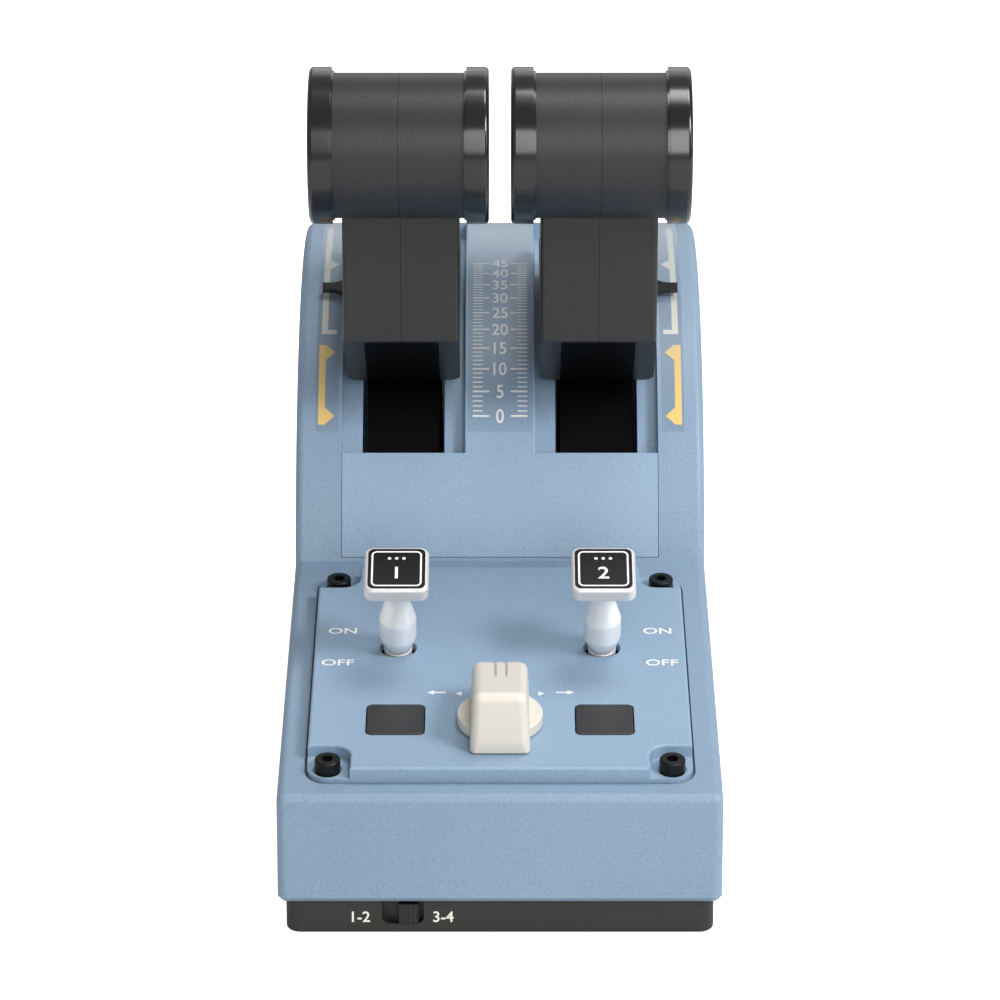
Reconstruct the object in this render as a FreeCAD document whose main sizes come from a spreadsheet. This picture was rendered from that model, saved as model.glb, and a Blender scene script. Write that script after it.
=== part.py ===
"""Throttle quadrant: two engine levers on a hump, a sloping switch panel and a base tray.

Frame: millimetres, +Z up, +X to the pilot's right, +Y away from the pilot.
The origin is the centre of the footprint, on the surface that the feet stand on.
"""
import FreeCAD, Part
import math
import os
import re
import Sketcher

os.makedirs("parts", exist_ok=True)
doc = FreeCAD.newDocument("ThrottleQuadrant")

# ---------------------------------------------------------------- driving sizes

SIZES = {
    "casing": {
        "case_width": 120, "case_length": 256, "shell_wall": 2.5, "front_edge_rise": 30.5,
        "front_lean": 1.6, "deck_slope": 8.27, "case_edge_round": 2.4, "rear_top_round": 6,
        "bottom_bevel": 1.4, "parting_gap": 0.15,
    },
    "base tray and feet": {
        "foot_drop": 1, "foot_bore": 10, "foot_seat": 1, "foot_inset_side": 14.7,
        "foot_inset_end": 10.4, "tray_rise": 9.9, "tray_inset": 2.1, "tray_wall": 2.5,
        "tray_floor": 2.5, "tray_corner": 4, "tray_bottom_round": 1, "foot_round": 0.5,
    },
    "hump and lever tracks": {
        "hump_radius": 98, "pivot_inset": 31.7, "pivot_height": 33.35, "cover_inset": 13.5,
        "strip_half_width": 10.4, "track_depth": 5, "track_wall": 2, "track_low_angle": 34.6,
        "track_high_angle": 103.5, "slot_high_angle": 101, "slot_half_width": 12.1,
        "cover_high_angle": 106, "cover_low_angle": 16.5, "skirt_wall": 2.5,
        "parting_turn": 0.1, "relief_turn": 1.5, "cover_edge_round": 0.5,
    },
    "levers": {
        "arm_width": 21.5, "shaft_bore": 8, "running_gap": 0.05, "hub_radius": 12,
        "stem_low_angle": 65.5, "stem_high_angle": 75.5, "skirt_radius": 90.4,
        "skirt_thick": 2.4, "skirt_low_angle": 27, "neck_width": 33.4, "neck_clearance": 0.7,
        "neck_nose_out": 93.3, "neck_nose_up": 94.2, "neck_foot_angle": 48,
        "neck_tail_angle": 79, "neck_front_lean": 2.4, "neck_wall": 3, "neck_back_curve": 60,
        "barrel_out": 96.9, "barrel_up": 153.55, "barrel_bore": 41.1, "barrel_width": 36.7,
        "barrel_wall": 3, "flange_bore": 44.4, "flange_width": 7, "flange_lip_bore": 42.2,
        "flange_lip": 0.6, "flange_hollow": 35, "flange_web": 2.2, "flange_round": 1.3,
        "seam_gap": 0.1, "cap_sink": 0.8, "cap_clearance": 0.15, "neck_tail_tall": 7,
        "neck_back_out": 58, "neck_back_up": 121, "neck_back_lean": 32.5, "neck_back_long": 36,
        "neck_edge_round": 1.2, "neck_foot_round": 3.5, "nose_inset": 1, "nose_tall": 16,
        "handle_boss_bore": 6.5, "handle_screw_bore": 3, "handle_screw_head": 5.5,
        "handle_screw_sink": 2.6, "handle_screw_inset": 8,
    },
    "lever buttons and latch": {
        "disconnect_bore": 13, "disconnect_sink": 0.4, "disconnect_travel": 2,
        "button_clearance": 0.3, "latch_width": 16, "latch_reach": 9, "latch_thick": 3.5,
        "latch_low": 6, "latch_overlap": 3, "latch_lip": 3, "latch_plate": 16,
        "latch_tongue_wide": 5, "latch_tongue_long": 6, "latch_travel": 6, "latch_round": 1,
    },
    "pointer": {
        "pointer_angle": 67.8, "pointer_out": 8, "pointer_tip": 3, "pointer_root": 11,
        "pointer_thick": 1.6, "pointer_radius": 99.8, "pointer_flare": 6,
    },
    "control panel": {
        "panel_inset": 7.9, "panel_front": 7.2, "panel_back_gap": 11.36, "panel_rise": 4.6,
        "panel_wall": 2.4, "panel_flange": 1.2, "panel_corner": 6, "panel_gap": 0.75,
        "panel_edge_round": 0.7, "notch_side": 11.7, "notch_depth": 11.9, "notch_round": 5,
        "screw_inset_side": 5.6, "screw_inset_front": 4.7, "screw_inset_back": 7.1,
        "shelf_thick": 2, "shelf_lip": 3, "panel_boss_bore": 9, "panel_boss_long": 12,
    },
    "cap screws": {
        "screw_bore": 4, "screw_head_bore": 7, "screw_head_tall": 4, "screw_sink": 0.4,
        "screw_head_round": 0.5, "screw_reach": 10, "screw_socket": 3, "screw_socket_deep": 2,
        "screw_hole_bore": 7.9,
    },
    "toggles": {
        "toggle_inset": 23.5, "toggle_along": 71.4, "toggle_hole_bore": 10.5,
        "toggle_pivot_depth": 1.2, "toggle_lean": 14.4, "toggle_top": 31,
        "toggle_cap_side": 17.8, "toggle_cap_thick": 4.4, "toggle_cap_round": 2.5,
        "toggle_collar_bore": 7.8, "toggle_neck_bore": 6.3, "toggle_waist_bore": 10.4,
        "toggle_root_bore": 7.4, "legend_side": 15.9, "legend_thick": 0.5, "legend_round": 1.8,
        "toggle_edge_round": 0.9, "toggle_barrel_bore": 5.2, "toggle_barrel_long": 5.6,
        "toggle_collar_tall": 2, "toggle_waist_low": 6.9, "toggle_waist_high": 13.6,
        "toggle_neck_low": 21, "toggle_stem_round": 3.5, "switch_side": 13, "switch_tall": 10,
        "bushing_bore": 9.6, "bushing_tall": 2.6, "bushing_wall": 1.2, "bushing_sink": 1,
    },
    "selector": {
        "selector_along": 30.9, "selector_disc_bore": 23.4, "selector_disc_thick": 3,
        "selector_float": 0.5, "grip_width": 16.4, "grip_ahead": 16.9, "grip_behind": 12,
        "grip_front_tall": 17.4, "grip_back_tall": 12.2, "grip_round": 2.4, "grip_draft": 1,
        "selector_shaft_bore": 6, "rotary_side": 16, "rotary_tall": 8, "groove_width": 1.1,
        "groove_pitch": 3, "groove_long": 13, "groove_deep": 0.8, "grip_front_lean": 1.6,
        "selector_disc_round": 0.5,
    },
    "push buttons": {
        "button_along": 32.4, "button_side": 15.7, "button_corner": 1.6, "button_proud": 0.3,
        "button_tall": 5, "button_travel": 1.2, "button_edge_round": 0.4, "button_stem_bore": 4,
        "tact_side": 6, "tact_tall": 4,
    },
    "front slide switch": {
        "slide_offset": 26.25, "slide_window": 11.3, "slide_window_rise": 2.8,
        "slide_thumb_width": 5.2, "slide_thumb_proud": 0.6, "slide_rest_shift": 1.55,
        "slide_thumb_tall": 5.6, "slide_body_width": 20, "slide_body_deep": 7,
        "slide_window_round": 2, "slide_rib_pitch": 1.1, "slide_body_margin": 1,
    },
    "boards, ports and inside": {
        "board_thick": 1.6, "panel_board_inset": 9, "panel_post_bore": 5, "panel_board_margin": 16.6,
        "panel_board_drop": 11, "main_board_width": 74, "main_board_long": 92,
        "main_board_rise": 9.5, "main_board_along": -46, "post_bore": 7, "bracket_width": 7,
        "bracket_foot": 28, "bracket_inset": 11.8, "bracket_head": 9, "bracket_step": 5,
        "washer_bore": 20, "spacer_bore": 13, "washer_thick": 1.2, "nut_across": 13,
        "nut_tall": 5, "plunger_bore": 6, "spring_bore": 4.6, "plunger_tall": 7,
        "plunger_round": 1.5, "spring_long": 8, "spring_wire": 0.8, "detent_wide": 14,
        "detent_deep": 18, "ballast_thick": 3, "ballast_width": 96, "ballast_long": 34,
        "ballast_along": 30, "usb_width": 12, "usb_tall": 11, "usb_deep": 16, "usb_offset": -22,
        "port_sink": 0.5, "port_wall": 1, "rear_board_width": 84, "rear_board_long": 13.5,
        "port_rise": 8.5, "insert_bore": 7, "insert_thread_bore": 4.2, "insert_tall": 5,
        "insert_inset_side": 22, "insert_inset_end": 33, "insert_roof": 1.2,
        "case_screw_bore": 3.2, "case_screw_head": 6, "case_screw_inset": 6,
        "case_screw_sink": 4, "case_screw_gap": 0.5, "case_screw_long": 20,
        "case_boss_bore": 7.5, "case_boss_tall": 14, "magnet_bore": 6, "magnet_thick": 2.5,
        "magnet_sink": 0.4, "sensor_gap": 1, "sensor_side": 15,
    },
}

# places that follow from the sizes
PLACES = {
    "half_width": "case_width / 2",
    "half_length": "case_length / 2",
    "cover_half_width": "half_width - cover_inset",
    "lever_offset": "(cover_half_width + strip_half_width) / 2",
    "bracket_spread": "half_width - bracket_inset",
    "panel_half_width": "half_width - panel_inset",
    "toggle_offset": "panel_half_width - toggle_inset",
    "insert_x": "half_width - insert_inset_side",
    "insert_y": "half_length - insert_inset_end",
    "panel_board_width": "2 * (panel_half_width - panel_board_inset)",
    "tray_top": "foot_drop + tray_rise",
    "tray_half_width": "case_width / 2 - tray_inset",
    "tray_half_length": "case_length / 2 - tray_inset",
    "edge_y": "front_lean - case_length / 2",
    "front_foot_y": "-case_length / 2 - bottom_bevel * front_lean / (front_edge_rise - bottom_bevel)",
    "edge_z": "tray_top + front_edge_rise",
    "pivot_y": "case_length / 2 - pivot_inset",
    "track_floor": "hump_radius - track_depth",
    "neck_foot": "hump_radius + neck_clearance",
    "seat_along": "(pivot_y - edge_y) * cos(deck_slope) + (pivot_height - edge_z) * sin(deck_slope)",
    "seat_below": "(pivot_y - edge_y) * sin(deck_slope) - (pivot_height - edge_z) * cos(deck_slope)",
    "deck_long": "seat_along - sqrt(hump_radius ^ 2 - seat_below ^ 2)",
    "panel_back": "deck_long - panel_back_gap",
    "panel_middle": "(panel_front + panel_back) / 2",
    "panel_board_long": "panel_back - panel_front - 2 * panel_board_margin",
    "junction_y": "edge_y + deck_long * cos(deck_slope)",
    "junction_z": "edge_z + deck_long * sin(deck_slope)",
    "rear_top_z": "pivot_height + sqrt(hump_radius ^ 2 - pivot_inset ^ 2)",
    "inner_long": "seat_along - sqrt((hump_radius - shell_wall) ^ 2 - (seat_below - shell_wall) ^ 2)",
    "foot_x": "half_width - foot_inset_side",
    "foot_y": "half_length - foot_inset_end",
    "case_screw_x": "half_width - case_screw_inset",
    "case_screw_y": "half_length - case_screw_inset",
    "sensor_top": "pivot_height - hub_radius - sensor_gap",
    "port_z": "tray_top + port_rise",
    "rear_board_z": "port_z - usb_tall / 2 - board_thick",
    "rear_board_y": "half_length - shell_wall - rear_board_long / 2 - button_clearance",
    "nose_run": "neck_nose_out - neck_foot * cos(neck_foot_angle)",
    "nose_slope": "(neck_nose_up - neck_foot * sin(neck_foot_angle)) / nose_run",
}

sheet = doc.addObject("Spreadsheet::Sheet", "Size")
place = doc.addObject("App::VarSet", "Place")
HOME = {}


def fill_sheet():
    """Write each driving size as a plain number with its own alias."""
    row = 1
    for group, sizes in SIZES.items():
        sheet.set(f"A{row}", group)
        row += 1
        for alias, number in sizes.items():
            sheet.set(f"A{row}", alias.replace("_", " "))
            sheet.set(f"B{row}", str(number))
            sheet.setAlias(f"B{row}", alias)
            HOME[alias] = "Size."
            row += 1
    doc.recompute()


def bound(formula):
    """A formula in bare size names, turned into one that refers to the sheet."""
    return re.sub(r"[a-z]\w*", lambda word: HOME.get(word[0], "") + word[0], str(formula))


def fill_places():
    for name, formula in PLACES.items():
        place.addProperty("App::PropertyFloat", name)
        place.setExpression(name, bound(formula))
        HOME[name] = "Place."
    doc.recompute()


def value(formula):
    return float(sheet.evalExpression(bound(formula)))


# ---------------------------------------------------------------- drawing tools

PIECES = []


def body(label, x="0", y="0", z="0", tilt="0"):
    """A body of its own, standing at a point and turned about the X axis."""
    piece = doc.addObject("PartDesign::Body", label)
    piece.Label = label
    piece.AllowCompound = True
    base = f"vector({bound(x)}; {bound(y)}; {bound(z)})"
    turn = f"rotation(vector(1; 0; 0); {bound(tilt)})"
    piece.setExpression("Placement", f"placement({base}; {turn})")
    PIECES.append(piece)
    return piece


def drawing(piece, plane, offset="0", x="0", y="0", tilt="0"):
    """A sketch on one of the body's planes, moved along its normal and within it, and tilted."""
    sketch = piece.newObject("Sketcher::SketchObject", "Sketch")
    role = plane + "_Plane"
    support = next(item for item in piece.Origin.OriginFeatures if item.Role == role)
    sketch.AttachmentSupport = [(support, "")]
    sketch.MapMode = "FlatFace"
    shift = f"vector({bound(x)}; {bound(y)}; {bound(offset)})"
    turn = f"rotation(vector(1; 0; 0); {bound(tilt)})"
    sketch.setExpression("AttachmentOffset", f"placement({shift}; {turn})")
    return sketch


def hold(sketch, kind, *args):
    """Add one dimension to a sketch and bind it to its formula."""
    formula = args[-1]
    index = sketch.addConstraint(Sketcher.Constraint(kind, *args[:-1], value(formula)))
    sketch.setExpression(f"Constraints[{index}]", bound(formula))


def pin(sketch, edge, end, x, y):
    hold(sketch, "DistanceX", -1, 1, edge, end, x)
    hold(sketch, "DistanceY", -1, 1, edge, end, y)


def circle(sketch, x, y, bore):
    middle = FreeCAD.Vector(value(x), value(y), 0)
    round_edge = Part.Circle(middle, FreeCAD.Vector(0, 0, 1), value(bore) / 2)
    edge = sketch.addGeometry(round_edge)
    hold(sketch, "Diameter", edge, bore)
    pin(sketch, edge, 3, x, y)


def arc_between(start, end, radius, turn):
    """The short arc from start to end that turns left (+1) or right (-1)."""
    chord = end - start
    rise = math.sqrt(max(radius ** 2 - (chord.Length / 2) ** 2, 0))
    left = FreeCAD.Vector(-chord.y, chord.x, 0).normalize()
    centre = (start + end) / 2 + left * rise * turn
    first, last = (start, end) if turn > 0 else (end, start)
    angles = [math.atan2(point.y - centre.y, point.x - centre.x) for point in (first, last)]
    return Part.ArcOfCircle(Part.Circle(centre, FreeCAD.Vector(0, 0, 1), radius), *angles)


def outline(sketch, corners):
    """A closed outline. A corner is (x, y), or (x, y, radius, turn) where an arc starts."""
    points = [FreeCAD.Vector(value(corner[0]), value(corner[1]), 0) for corner in corners]
    ends = []
    for index, corner in enumerate(corners):
        start, end = points[index], points[(index + 1) % len(points)]
        if len(corner) == 2:
            edge = sketch.addGeometry(Part.LineSegment(start, end))
            ends.append((edge, 1, 2))
            continue
        edge = sketch.addGeometry(arc_between(start, end, value(corner[2]), corner[3]))
        ends.append((edge, 1, 2) if corner[3] > 0 else (edge, 2, 1))
    for index, corner in enumerate(corners):
        edge, start, end = ends[index]
        following = ends[(index + 1) % len(corners)]
        sketch.addConstraint(Sketcher.Constraint("Coincident", edge, end, following[0], following[1]))
    for index, corner in enumerate(corners):
        edge, start, end = ends[index]
        pin(sketch, edge, start, corner[0], corner[1])
        if len(corner) > 2:
            hold(sketch, "Radius", edge, corner[2])


def rectangle(sketch, x, y, width, height):
    left, right = f"({x}) - ({width}) / 2", f"({x}) + ({width}) / 2"
    low, high = f"({y}) - ({height}) / 2", f"({y}) + ({height}) / 2"
    outline(sketch, [(left, low), (right, low), (right, high), (left, high)])


def rounded(sketch, x, y, width, height, radius):
    """A rectangle with round corners."""
    left, right = f"({x}) - ({width}) / 2", f"({x}) + ({width}) / 2"
    low, high = f"({y}) - ({height}) / 2", f"({y}) + ({height}) / 2"
    outline(sketch, [
        (f"{left} + {radius}", low), (f"{right} - {radius}", low, radius, 1),
        (right, f"{low} + {radius}"), (right, f"{high} - {radius}", radius, 1),
        (f"{right} - {radius}", high), (f"{left} + {radius}", high, radius, 1),
        (left, f"{high} - {radius}"), (left, f"{low} + {radius}", radius, 1),
    ])


def on_arc(radius, angle):
    """A point at an angle above the horizon, seen from the pivot towards the pilot."""
    return f"-({radius}) * cos({angle})", f"({radius}) * sin({angle})"


def band(sketch, inner, outer, low, high):
    """A curved strip about the lever pivot, between two radii and two angles."""
    outline(sketch, [
        (*on_arc(outer, low), outer, -1), on_arc(outer, high),
        (*on_arc(inner, high), inner, 1), on_arc(inner, low),
    ])


def pad(piece, sketch, length, side="One side", back=False):
    feature = piece.newObject("PartDesign::Pad", "Pad")
    feature.Profile = sketch
    feature.SideType = side
    feature.Reversed = back
    feature.setExpression("Length", bound(length))
    return feature


def pocket(piece, sketch, length=None, side="One side", back=False):
    """Cut a sketch out of the body, through all of it unless a length is given."""
    before = solid_volume(piece)
    feature = piece.newObject("PartDesign::Pocket", "Pocket")
    feature.Profile = sketch
    feature.SideType = side
    feature.Reversed = back
    if length is None:
        feature.Type = "ThroughAll"
    else:
        feature.setExpression("Length", bound(length))
    doc.recompute()
    if solid_volume(piece) >= before:
        raise RuntimeError(f"{piece.Label}: a pocket cuts nothing")
    return feature


def solid_volume(piece):
    doc.recompute()
    return piece.Shape.Volume


def revolve(piece, sketch, axis="V_Axis"):
    feature = piece.newObject("PartDesign::Revolution", "Revolution")
    feature.Profile = sketch
    feature.ReferenceAxis = (sketch, [axis])
    feature.Angle = 360
    return feature


def dress(piece, kind, size, chosen):
    """Round or bevel the edges of the newest feature that the test picks."""
    doc.recompute()
    base = piece.Tip
    names = [f"Edge{i + 1}" for i, edge in enumerate(base.Shape.Edges) if chosen(edge)]
    if not names:
        raise RuntimeError(f"{piece.Label}: no edge to dress")
    feature = piece.newObject("PartDesign::" + kind, kind)
    feature.Base = (base, names)
    feature.setExpression("Radius" if kind == "Fillet" else "Size", bound(size))
    doc.recompute()
    return feature


def near(number, target, slack=0.02):
    return abs(number - target) < slack


def along(edge, axis):
    """Whether an edge is straight and runs along a coordinate axis, 0, 1 or 2."""
    if edge.Curve.TypeId != "Part::GeomLine":
        return False
    span = edge.Vertexes[-1].Point - edge.Vertexes[0].Point
    return near(abs(span[axis]), span.Length)


fill_sheet()
fill_places()

SIDES = {"left": "-", "right": ""}
CORNERS = [(x, y) for x in ("-", "") for y in ("-", "")]


def deck_body(label, x="0", along="0", above="0", lean="0"):
    """A body whose own XY plane lies on the deck, or leans from it towards the pilot."""
    y = f"edge_y + ({along}) * cos(deck_slope) - ({above}) * sin(deck_slope)"
    z = f"edge_z + ({along}) * sin(deck_slope) + ({above}) * cos(deck_slope)"
    return body(label, x, y, z, f"deck_slope + ({lean})")


def lever_body(label, sign):
    """A body whose origin is on the lever pivot, in the middle of one lever."""
    return body(label, f"{sign}lever_offset", "pivot_y", "pivot_height")


# ---------------------------------------------------------------- base

def base_tray():
    piece = body("base_tray")
    sketch = drawing(piece, "XY", "foot_drop")
    rounded(sketch, "0", "0", "2 * tray_half_width", "2 * tray_half_length", "tray_corner")
    pad(piece, sketch, "tray_rise")
    bottom = value("foot_drop")
    dress(piece, "Fillet", "tray_bottom_round", lambda edge: near(edge.BoundBox.ZMax, bottom))
    sketch = drawing(piece, "XY", "tray_top")
    rounded(sketch, "0", "0", "2 * (tray_half_width - tray_wall)",
            "2 * (tray_half_length - tray_wall)", "(tray_corner - tray_wall)")
    pocket(piece, sketch, "tray_rise - tray_floor")
    posts_on_floor(piece)
    holes_from_below(piece)
    sketch = drawing(piece, "XZ", "tray_half_length")
    rounded(sketch, "-slide_offset", "foot_drop + slide_window_rise + tray_rise / 2",
            "slide_window", "tray_rise", "slide_window_round")
    pocket(piece, sketch, "2 * tray_wall")
    return piece


def posts_on_floor(piece):
    """Bosses for the case screws, the inserts and the boards."""
    sketch = drawing(piece, "XY", "foot_drop + tray_floor")
    for x, y in CORNERS:
        circle(sketch, f"{x}case_screw_x", f"{y}case_screw_y", "case_boss_bore")
    pad(piece, sketch, "tray_rise - tray_floor")
    sketch = drawing(piece, "XY", "foot_drop + tray_floor")
    for x, y in CORNERS:
        circle(sketch, f"{x}insert_x", f"{y}insert_y",
               "insert_bore + 2 * tray_wall")
    pad(piece, sketch, "insert_tall + insert_roof - tray_floor")
    sketch = drawing(piece, "XY", "foot_drop + tray_floor")
    for x, y in CORNERS:
        circle(sketch, f"{x}(main_board_width / 2 - post_bore / 2)",
               f"main_board_along {y or '+'} (main_board_long / 2 - post_bore / 2)", "post_bore")
    pad(piece, sketch, "main_board_rise - foot_drop - tray_floor")
    sketch = drawing(piece, "XY", "foot_drop + tray_floor")
    for x in ("-", ""):
        circle(sketch, f"{x}(rear_board_width / 2 - post_bore / 2)", "rear_board_y", "post_bore")
    pad(piece, sketch, "rear_board_z - foot_drop - tray_floor")
    sketch = drawing(piece, "XY", "foot_drop + tray_floor")
    for sign in SIDES.values():
        circle(sketch, f"{sign}lever_offset", "pivot_y", "post_bore")
    pad(piece, sketch, "sensor_top - board_thick - foot_drop - tray_floor")


def holes_from_below(piece):
    sketch = drawing(piece, "XY", "foot_drop")
    for x, y in CORNERS:
        circle(sketch, f"{x}foot_x", f"{y}foot_y", "foot_bore")
    pocket(piece, sketch, "foot_seat", back=True)
    sketch = drawing(piece, "XY", "foot_drop")
    for x, y in CORNERS:
        circle(sketch, f"{x}insert_x", f"{y}insert_y", "insert_bore")
    pocket(piece, sketch, "insert_tall", back=True)
    sketch = drawing(piece, "XY", "foot_drop")
    for x, y in CORNERS:
        circle(sketch, f"{x}case_screw_x", f"{y}case_screw_y", "case_screw_bore")
    pocket(piece, sketch, "tray_rise", back=True)
    sketch = drawing(piece, "XY", "foot_drop")
    for x, y in CORNERS:
        circle(sketch, f"{x}case_screw_x", f"{y}case_screw_y", "case_screw_head")
    pocket(piece, sketch, "case_screw_sink", back=True)


def rubber_feet():
    piece = body("rubber_feet")
    sketch = drawing(piece, "XY")
    for x, y in CORNERS:
        circle(sketch, f"{x}foot_x", f"{y}foot_y", "foot_bore")
    pad(piece, sketch, "foot_drop + foot_seat")
    dress(piece, "Fillet", "foot_round", lambda edge: near(edge.BoundBox.ZMax, 0))
    return piece


def case_screws():
    piece = body("case_screws")
    for bore, length in (("case_screw_head", "case_screw_sink"), ("case_screw_bore", "case_screw_long")):
        sketch = drawing(piece, "XY", "foot_drop + case_screw_gap")
        for x, y in CORNERS:
            circle(sketch, f"{x}case_screw_x", f"{y}case_screw_y", bore)
        pad(piece, sketch, f"{length} - case_screw_gap")
    return piece


def mount_inserts():
    """Threaded brass inserts in the underside."""
    piece = body("mount_inserts")
    sketch = drawing(piece, "XY", "foot_drop")
    for x, y in CORNERS:
        place_x, place_y = f"{x}insert_x", f"{y}insert_y"
        circle(sketch, place_x, place_y, "insert_bore")
        circle(sketch, place_x, place_y, "insert_thread_bore")
    pad(piece, sketch, "insert_tall")
    return piece


def plate(label, x, y, low, width, length, thick):
    """A flat board or plate that lies level."""
    piece = body(label)
    sketch = drawing(piece, "XY", low)
    for middle in (x if isinstance(x, list) else [x]):
        rectangle(sketch, middle, y, width, length)
    pad(piece, sketch, thick)
    return piece


def inner_plates():
    plate("main_board", "0", "main_board_along", "main_board_rise",
          "main_board_width", "main_board_long", "board_thick")
    plate("rear_board", "0", "rear_board_y", "rear_board_z",
          "rear_board_width", "rear_board_long", "board_thick")
    plate("ballast_plate", "0", "ballast_along", "foot_drop + tray_floor",
          "ballast_width", "ballast_long", "ballast_thick")
    plate("sensor_boards", ["-lever_offset", "lever_offset"], "pivot_y",
          "sensor_top - board_thick", "sensor_side", "sensor_side", "board_thick")


# ---------------------------------------------------------------- casing

def main_shell():
    piece = body("main_shell")
    sketch = drawing(piece, "YZ")
    outline(sketch, [
        ("front_foot_y", "tray_top"), ("half_length", "tray_top"),
        ("half_length", "rear_top_z", "hump_radius", 1), ("junction_y", "junction_z"),
        ("edge_y", "edge_z"),
    ])
    pad(piece, sketch, "case_width", side="Symmetric")
    round_casing(piece)
    hollow_casing(piece)
    track_skirts(piece)
    panel_seat(piece)
    case_bosses(piece)
    port_holes(piece)
    return piece


def round_casing(piece):
    """Round the rear top edge, then every other edge above the tray, then bevel the foot."""
    back, floor = value("half_length"), value("tray_top")

    def rear_top(edge):
        return along(edge, 0) and near(edge.BoundBox.YMin, back) and edge.BoundBox.ZMin > floor + 1

    def at_side(edge):
        return near(abs(edge.CenterOfMass.x), value("half_width")) and edge.BoundBox.ZMax > floor + 1

    def front_top(edge):
        return along(edge, 0) and near(edge.BoundBox.ZMin, value("edge_z"))

    dress(piece, "Fillet", "rear_top_round", rear_top)
    dress(piece, "Fillet", "case_edge_round", lambda edge: at_side(edge) or front_top(edge))
    dress(piece, "Chamfer", "bottom_bevel", lambda edge: near(edge.BoundBox.ZMax, floor))


def hollow_casing(piece):
    sketch = drawing(piece, "YZ")
    rise = "(hump_radius - shell_wall)"
    outline(sketch, [
        ("-(half_length - shell_wall)", "tray_top - shell_wall"),
        ("half_length - shell_wall", "tray_top - shell_wall"),
        ("half_length - shell_wall",
         f"pivot_height + sqrt({rise} ^ 2 - (pivot_inset - shell_wall) ^ 2)", rise, 1),
        ("edge_y + inner_long * cos(deck_slope) + shell_wall * sin(deck_slope)",
         "edge_z + inner_long * sin(deck_slope) - shell_wall * cos(deck_slope)"),
        ("edge_y + shell_wall * (cos(deck_slope) + sin(deck_slope))",
         "edge_z - shell_wall * (cos(deck_slope) - sin(deck_slope))"),
    ])
    pocket(piece, sketch, "case_width - 2 * shell_wall", side="Symmetric")


def track_skirts(piece):
    """Walls that hang beside the lever tracks, then the opening that the cover fills."""
    for offset in ("cover_half_width", "-(cover_half_width + skirt_wall)"):
        sketch = pivot_drawing(piece, offset)
        band(sketch, "(track_floor - track_wall - shell_wall)", "(hump_radius - shell_wall / 2)",
             "cover_low_angle", "cover_high_angle")
        pad(piece, sketch, "skirt_wall")
    sketch = pivot_drawing(piece)
    band(sketch, "(track_floor - 2 * track_depth)", "(hump_radius + track_depth)",
         "cover_low_angle", "cover_high_angle")
    pocket(piece, sketch, "2 * cover_half_width", side="Symmetric")


def pivot_drawing(piece, offset="0"):
    """A sketch across the levers, with its origin on their pivot."""
    return drawing(piece, "YZ", offset, "pivot_y", "pivot_height")


def deck_drawing(piece, above="0"):
    """A sketch on the deck, with its origin on the deck's front edge."""
    y = f"edge_y - ({above}) * sin(deck_slope)"
    return drawing(piece, "XY", f"edge_z + ({above}) * cos(deck_slope)", "0", y, "deck_slope")


def panel_shape(sketch, grow):
    """The panel's outline on the deck, made larger or smaller all round."""
    rounded(sketch, "0", "panel_middle", f"2 * (panel_half_width + {grow})",
            f"(panel_back - panel_front + 2 * ({grow}))", f"(panel_corner + {grow})")


def panel_screw_places():
    for x in ("-", ""):
        yield f"{x}(panel_half_width - screw_inset_side)", "panel_front + screw_inset_front"
        yield f"{x}(panel_half_width - screw_inset_side)", "panel_back - screw_inset_back"


def panel_seat(piece):
    """The opening in the deck, with a shelf and four screw bosses below it."""
    sketch = deck_drawing(piece, "-shell_wall / 2")
    panel_shape(sketch, "panel_gap + shell_wall")
    pad(piece, sketch, "shell_wall / 2 + shelf_thick", back=True)
    sketch = deck_drawing(piece, "-shell_wall / 2")
    for x, y in panel_screw_places():
        circle(sketch, x, y, "panel_boss_bore")
    pad(piece, sketch, "panel_boss_long", back=True)
    sketch = deck_drawing(piece, "panel_rise")
    panel_shape(sketch, "panel_gap")
    pocket(piece, sketch, "panel_rise + shell_wall")
    sketch = deck_drawing(piece)
    rectangle(sketch, "0", "panel_middle",
              "2 * (panel_half_width - notch_side + shelf_lip)",
              "panel_back - panel_front - 2 * shelf_lip")
    pocket(piece, sketch, "shell_wall + 2 * shelf_thick")
    sketch = deck_drawing(piece)
    for x, y in panel_screw_places():
        circle(sketch, x, y, "screw_bore")
    pocket(piece, sketch, "screw_reach")


def case_bosses(piece):
    sketch = drawing(piece, "XY", "tray_top")
    for x, y in CORNERS:
        circle(sketch, f"{x}case_screw_x", f"{y}case_screw_y", "case_boss_bore")
    pad(piece, sketch, "case_boss_tall")
    sketch = drawing(piece, "XY", "tray_top")
    for x, y in CORNERS:
        circle(sketch, f"{x}case_screw_x", f"{y}case_screw_y", "case_screw_bore")
    pocket(piece, sketch, "case_screw_long + foot_drop - tray_top", back=True)


def port_holes(piece):
    sketch = drawing(piece, "XZ", "-(half_length - 1.5 * shell_wall)")
    rectangle(sketch, "usb_offset", "port_z", "usb_width", "usb_tall")
    pocket(piece, sketch, "2 * shell_wall")


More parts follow.
